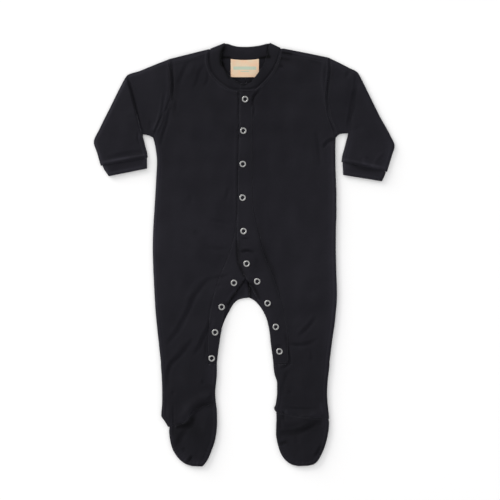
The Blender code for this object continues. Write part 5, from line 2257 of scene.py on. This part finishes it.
@dataclass
class Poppers:
    """Open ring caps of plated brass, fastened, on the bands."""

    room: Workroom
    outer: float = 4.65
    inner: float = 2.6
    height: float = 1.0
    roll: float = 0.12
    press: float = 0.05
    segments: int = 72
    sides: int = 18

    def build(self) -> None:
        """Builds every cap, one object for each."""
        nickel = NickelFinish().material()
        loft = self.room.loft
        for row, centres in POPPER_ROWS.items():
            for number, centre in enumerate(centres, start=1):
                name = f"popper_{row}_{number}"
                lap = 0.0 if row == "right_leg" else float(loft.band_lap(np.array(centre[1])))
                form = self._ring(np.array(centre), lap)
                made = form.to_object(f"{name}_ring", nickel)
                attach(made, BODY)
                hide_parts(name)
            LOG.info("%s: %d ring poppers", row, len(centres))

    def _ring(self, centre: Array, lap: float) -> Form:
        """A rolled ring: a flattened round carried round a circle, tilted with the cloth.

        The section's outer flank is lower than its inner one by the roll, and the whole lies
        on the plane through the cloth's heights at its four sides.

        Args:
            centre: Its place on the cloth.
            lap: Share of a layer that the cloth has climbed.

        Returns:
            The closed form.
        """
        turn = np.linspace(0.0, 2 * np.pi, self.segments, endpoint=False)
        section = np.linspace(0.0, 2 * np.pi, self.sides, endpoint=False)
        middle, half = (self.outer + self.inner) / 2, (self.outer - self.inner) / 2
        radius = middle + half * np.cos(section)
        rise = self.height / 2 * np.sin(section) * (1.0 - self.roll * np.cos(section))
        around = np.stack([np.cos(turn), np.sin(turn)], axis=1)
        under = centre + around * self.outer
        cloth = self.room.loft.height(under, lap) + WALL / 2
        slope = 2.0 * (around * (cloth - cloth.mean())[:, None]).mean(axis=0) / self.outer
        place = around[:, None, :] * radius[None, :, None]
        height = cloth.mean() + self.height / 2 - self.press + place @ slope + rise
        points = np.dstack([centre + place, height])
        spot = np.arange(self.segments * self.sides).reshape(self.segments, self.sides)
        spot = np.pad(spot, ((0, 1), (0, 1)), mode="wrap")
        quads = np.stack([spot[:-1, :-1], spot[1:, :-1], spot[1:, 1:], spot[:-1, 1:]], axis=-1)
        quads = quads.reshape(-1, 4)
        places = points.reshape(-1, 3)
        return Form(places, quads, places[quads.ravel(), :2])


@dataclass(frozen=True)
class StitchRow:
    """A row of stitches along a line on the cloth."""

    path: Array
    height: Callable[[Array], Array]


@dataclass
class Topstitching:
    """Every row of topstitching, joined into one piece for each part of the garment.

    A stitch is a short tube of six sides along its own arc. Its radius shrinks to the ends,
    where it dips into the cloth.
    """

    room: Workroom
    length: float = 2.15
    pitch: float = 2.75
    radius: float = 0.17
    sink: float = 0.24
    lift: float = 0.06
    thin: float = 0.45
    sides: int = 6
    stations: tuple[float, ...] = (-1.0, -0.72, 0.0, 0.72, 1.0)
    kinds: tuple[str, ...] = ("neck", "armhole", "band", "cuff", "ankle", "shoulder")
    neck_rows: tuple[float, ...] = (1.5, 4.4)
    neck_top: float = 291.0
    armhole_rows: tuple[float, ...] = (-3.0, 3.0)
    ankle_row: float = 1.8
    band_row: float = 1.7
    band_top: float = 232.0
    band_show: float = -38.0
    cuff_inset: float = 4.5

    def build(self) -> None:
        """Builds one piece for the neck, armholes, bands, cuffs, ankles and shoulders each."""
        pattern = self.room.pattern
        seams: dict[str, list[StitchRow]] = {kind: [] for kind in self.kinds}
        for side, sign in ((Side.RIGHT, 1.0), (Side.LEFT, -1.0)):
            front = self._on_front(side)
            for aside in self.neck_rows:
                path = moved_aside(pattern.neck(side), -sign * aside)
                seams["neck"].append(StitchRow(path[path[:, 1] < self.neck_top], front))
            for aside in self.armhole_rows:
                path = moved_aside(pattern.armhole(side), sign * aside)[2:-2]
                seams["armhole"].append(StitchRow(path, front))
            seams["band"] += self._band_rows(side, sign)
            seams["cuff"] += self._cuff_rows(side)
            path = moved_aside(pattern.ankle(side), sign * self.ankle_row)[2:-3]
            seams["ankle"].append(StitchRow(path, front))
            seams["shoulder"].append(StitchRow(np.array(SHOULDER_STITCHES[side]), front))
        for kind, rows in seams.items():
            self._sew(f"{kind}_stitches", rows)

    def _on_front(self, side: Side) -> Callable[[Array], Array]:
        """Height of a front's surface."""
        loft = self.room.loft
        return lambda xy: loft.height(xy, loft.front_lap(xy, side)) + WALL / 2

    def _on_band(self, side: Side) -> Callable[[Array], Array]:
        """Height of a band's surface, and of any cloth that doesn't lap: the right one's.

        Args:
            side: The wearer's side.

        Returns:
            The height as a function of the place.
        """
        loft = self.room.loft
        if side is Side.RIGHT:
            return lambda xy: loft.height(xy) + WALL / 2
        return lambda xy: loft.height(xy, loft.band_lap(xy[..., 1])) + WALL / 2

    def _band_rows(self, side: Side, sign: float) -> list[StitchRow]:
        """A row inside both long edges of a band, and one across its lower end.

        Args:
            side: The wearer's side.
            sign: 1 on the right, -1 on the left.

        Returns:
            The three rows.
        """
        pattern, surface = self.room.pattern, self._on_band(side)
        seam, free = pattern.seam[side], pattern.free[side]
        top = self.band_top if side is Side.LEFT else self.band_show
        made = []
        for edge, way, high in ((seam, sign, self.band_top), (free, -sign, top)):
            line = moved_aside(edge.between(high, BAND_END_Y + 4.0), way * self.band_row)
            made.append(StitchRow(line, surface))
        low = np.array([BAND_END_Y + 1.8])
        start, end = seam.x(low) + 1.6 * sign, free.x(low) - 1.6 * sign
        made.append(StitchRow(np.array([[*start, *low], [*end, *low]]), surface))
        return made

    def _cuff_rows(self, side: Side) -> list[StitchRow]:
        """A row above the cuff seam, and twin rows above the wrist edge.

        Args:
            side: The wearer's side.

        Returns:
            The three rows.
        """
        sleeve, cuff = self.room.pattern.sleeve[side], self.room.pattern.cuff[side]
        made = []
        for rows, from_end in ((sleeve, 1.8), (cuff, 2.0), (cuff, 4.2)):
            ends = rows[-1].reshape(2, 2)
            back = rows[-2].reshape(2, 2) - ends
            line = ends + from_end * back / np.linalg.norm(back, axis=1, keepdims=True)
            along = line[1] - line[0]
            inset = self.cuff_inset * along / np.linalg.norm(along)
            path = np.array([line[0] + inset, line[1] - inset])
            made.append(StitchRow(path, self._on_band(Side.RIGHT)))
        return made

    def _sew(self, name: str, rows: list[StitchRow]) -> None:
        """Makes one piece of all stitches of the rows.

        Args:
            name: Name of the piece.
            rows: Its rows.
        """
        places, chart = (np.concatenate(part) for part in zip(*map(self._row, rows)))
        quads = self._quads(len(places))
        form = Form(places.reshape(-1, 3), quads, chart.reshape(-1, 2)[quads.ravel()])
        made = form.to_object(name, self.room.thread)
        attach(made, BODY)
        LOG.info("%s: %d stitches", name, len(places))

    def _row(self, row: StitchRow) -> tuple[Array, Array]:
        """All stitches of one row.

        Args:
            row: The line and the cloth's height.

        Returns:
            Points and chart places, stitches by stations by sides.
        """
        total = run_along(row.path)[-1]
        middle = np.arange(self.pitch, total - self.pitch / 2, self.pitch)
        share = np.array(self.stations)
        run = middle[:, None] + share * self.length / 2
        xy = resampled(row.path, run.ravel())
        ahead = resampled(row.path, run.ravel() + 0.2)
        height = row.height(xy) + self.lift
        along = (ahead - xy) / np.linalg.norm(ahead - xy, axis=1, keepdims=True)
        aside = np.stack([-along[:, 1], along[:, 0]], axis=1).reshape(*run.shape, 1, 2)
        spine = np.dstack([xy.reshape(*run.shape, 2), height.reshape(run.shape)])
        spine[..., 2] -= self.sink * share**2
        thick = self.radius * (1.0 - self.thin * share**4)
        angle = np.linspace(0.0, 2 * np.pi, self.sides, endpoint=False)
        wide = thick[:, None] * np.cos(angle)
        tall = thick[:, None] * np.sin(angle)
        places = np.empty((*run.shape, self.sides, 3))
        places[..., :2] = spine[:, :, None, :2] + aside * wide[None, :, :, None]
        places[..., 2] = spine[:, :, None, 2] + tall[None]
        chart = np.empty((*run.shape, self.sides, 2))
        chart[..., 0] = (angle * self.radius)[None, None]
        chart[..., 1] = run[:, :, None]
        return places, chart

    def _quads(self, count: int) -> Indices:
        """Faces of that many stitches: the tube's sides and two faces at each end.

        Args:
            count: Number of stitches.

        Returns:
            Four corners for each face.
        """
        stations = len(self.stations)
        near = np.arange(stations - 1)[:, None] * self.sides + np.arange(self.sides)
        ahead = np.roll(near, -1, axis=1)
        sides = np.stack([near, ahead, ahead + self.sides, near + self.sides], -1)
        first = np.array([[0, 3, 2, 1], [0, 5, 4, 3]])
        last = np.array([[0, 1, 2, 3], [0, 3, 4, 5]]) + (stations - 1) * self.sides
        one = np.concatenate([sides.reshape(-1, 4), first, last])
        shift = np.arange(count)[:, None, None] * stations * self.sides
        return (one[None] + shift).reshape(-1, 4)


@dataclass
class Studio:
    """A plain pale floor, soft light from the upper left and a camera straight above, with
    sizes in metres."""

    view_middle: tuple[float, float] = (0.0084, 0.0063)
    view_width: float = 0.725
    distance: float = 3.0
    sensor: float = 36.0
    floor_size: float = 14.0
    floor_drop: float = 0.0004
    light_place: tuple[float, float, float] = (-7.6, 7.2, 2.35)
    light_size: tuple[float, float] = (9.0, 4.3)
    light_power: float = 1450.0
    surround: tuple[float, float, float, float] = (0.97, 0.98, 1.0, 1.0)
    surround_strength: float = 0.9

    def build(self) -> None:
        """Builds floor, light, world and camera."""
        self._floor()
        self._light()
        self._world()
        self._camera()
        bpy.context.scene.view_settings.view_transform = "Standard"

    def _floor(self) -> None:
        """A square floor just under the garment."""
        half = self.floor_size / 2
        corners = [(-half, -half), (half, -half), (half, half), (-half, half)]
        mesh = bpy.data.meshes.new("floor")
        mesh.from_pydata([(x, y, -self.floor_drop) for x, y in corners], [], [(0, 1, 2, 3)])
        mesh.materials.append(FloorFinish().material())
        floor = bpy.data.objects.new("floor", mesh)
        bpy.context.scene.collection.objects.link(floor)

    def _light(self) -> None:
        """A soft light, a plain rectangle that looks at the garment."""
        data = bpy.data.lights.new("key", "AREA")
        data.shape = "RECTANGLE"
        data.size, data.size_y = self.light_size
        data.energy = self.light_power
        light = bpy.data.objects.new("key", data)
        light.location = self.light_place
        light.rotation_euler = (-light.location).to_track_quat("-Z", "Y").to_euler()
        light.visible_camera = False
        bpy.context.scene.collection.objects.link(light)

    def _world(self) -> None:
        """An even pale surround."""
        world = bpy.data.worlds.new("surround")
        world.use_nodes = True
        background = world.node_tree.nodes["Background"]
        background.inputs["Color"].default_value = self.surround
        background.inputs["Strength"].default_value = self.surround_strength
        bpy.context.scene.world = world

    def _camera(self) -> None:
        """A long lens straight above, its view a square of view_width on the floor."""
        data = bpy.data.cameras.new("camera")
        data.sensor_width = self.sensor
        data.lens = self.sensor * self.distance / self.view_width
        data.clip_end = 50.0
        camera = bpy.data.objects.new("camera", data)
        camera.location = (*self.view_middle, self.distance)
        bpy.context.scene.collection.objects.link(camera)
        bpy.context.scene.camera = camera


def main() -> None:
    """Builds the garment's pieces in order."""
    logging.basicConfig(level=logging.INFO, format="%(name)s: %(message)s")
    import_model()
    room = Workroom()
    Body(room).build()
    Plackets(room).build()
    Sleeves(room).build()
    Feet(room).build()
    Neckband(room).build()
    NeckLabel(room).build()
    Poppers(room).build()
    Topstitching(room).build()
    Studio().build()


if __name__ == "__main__":
    main()
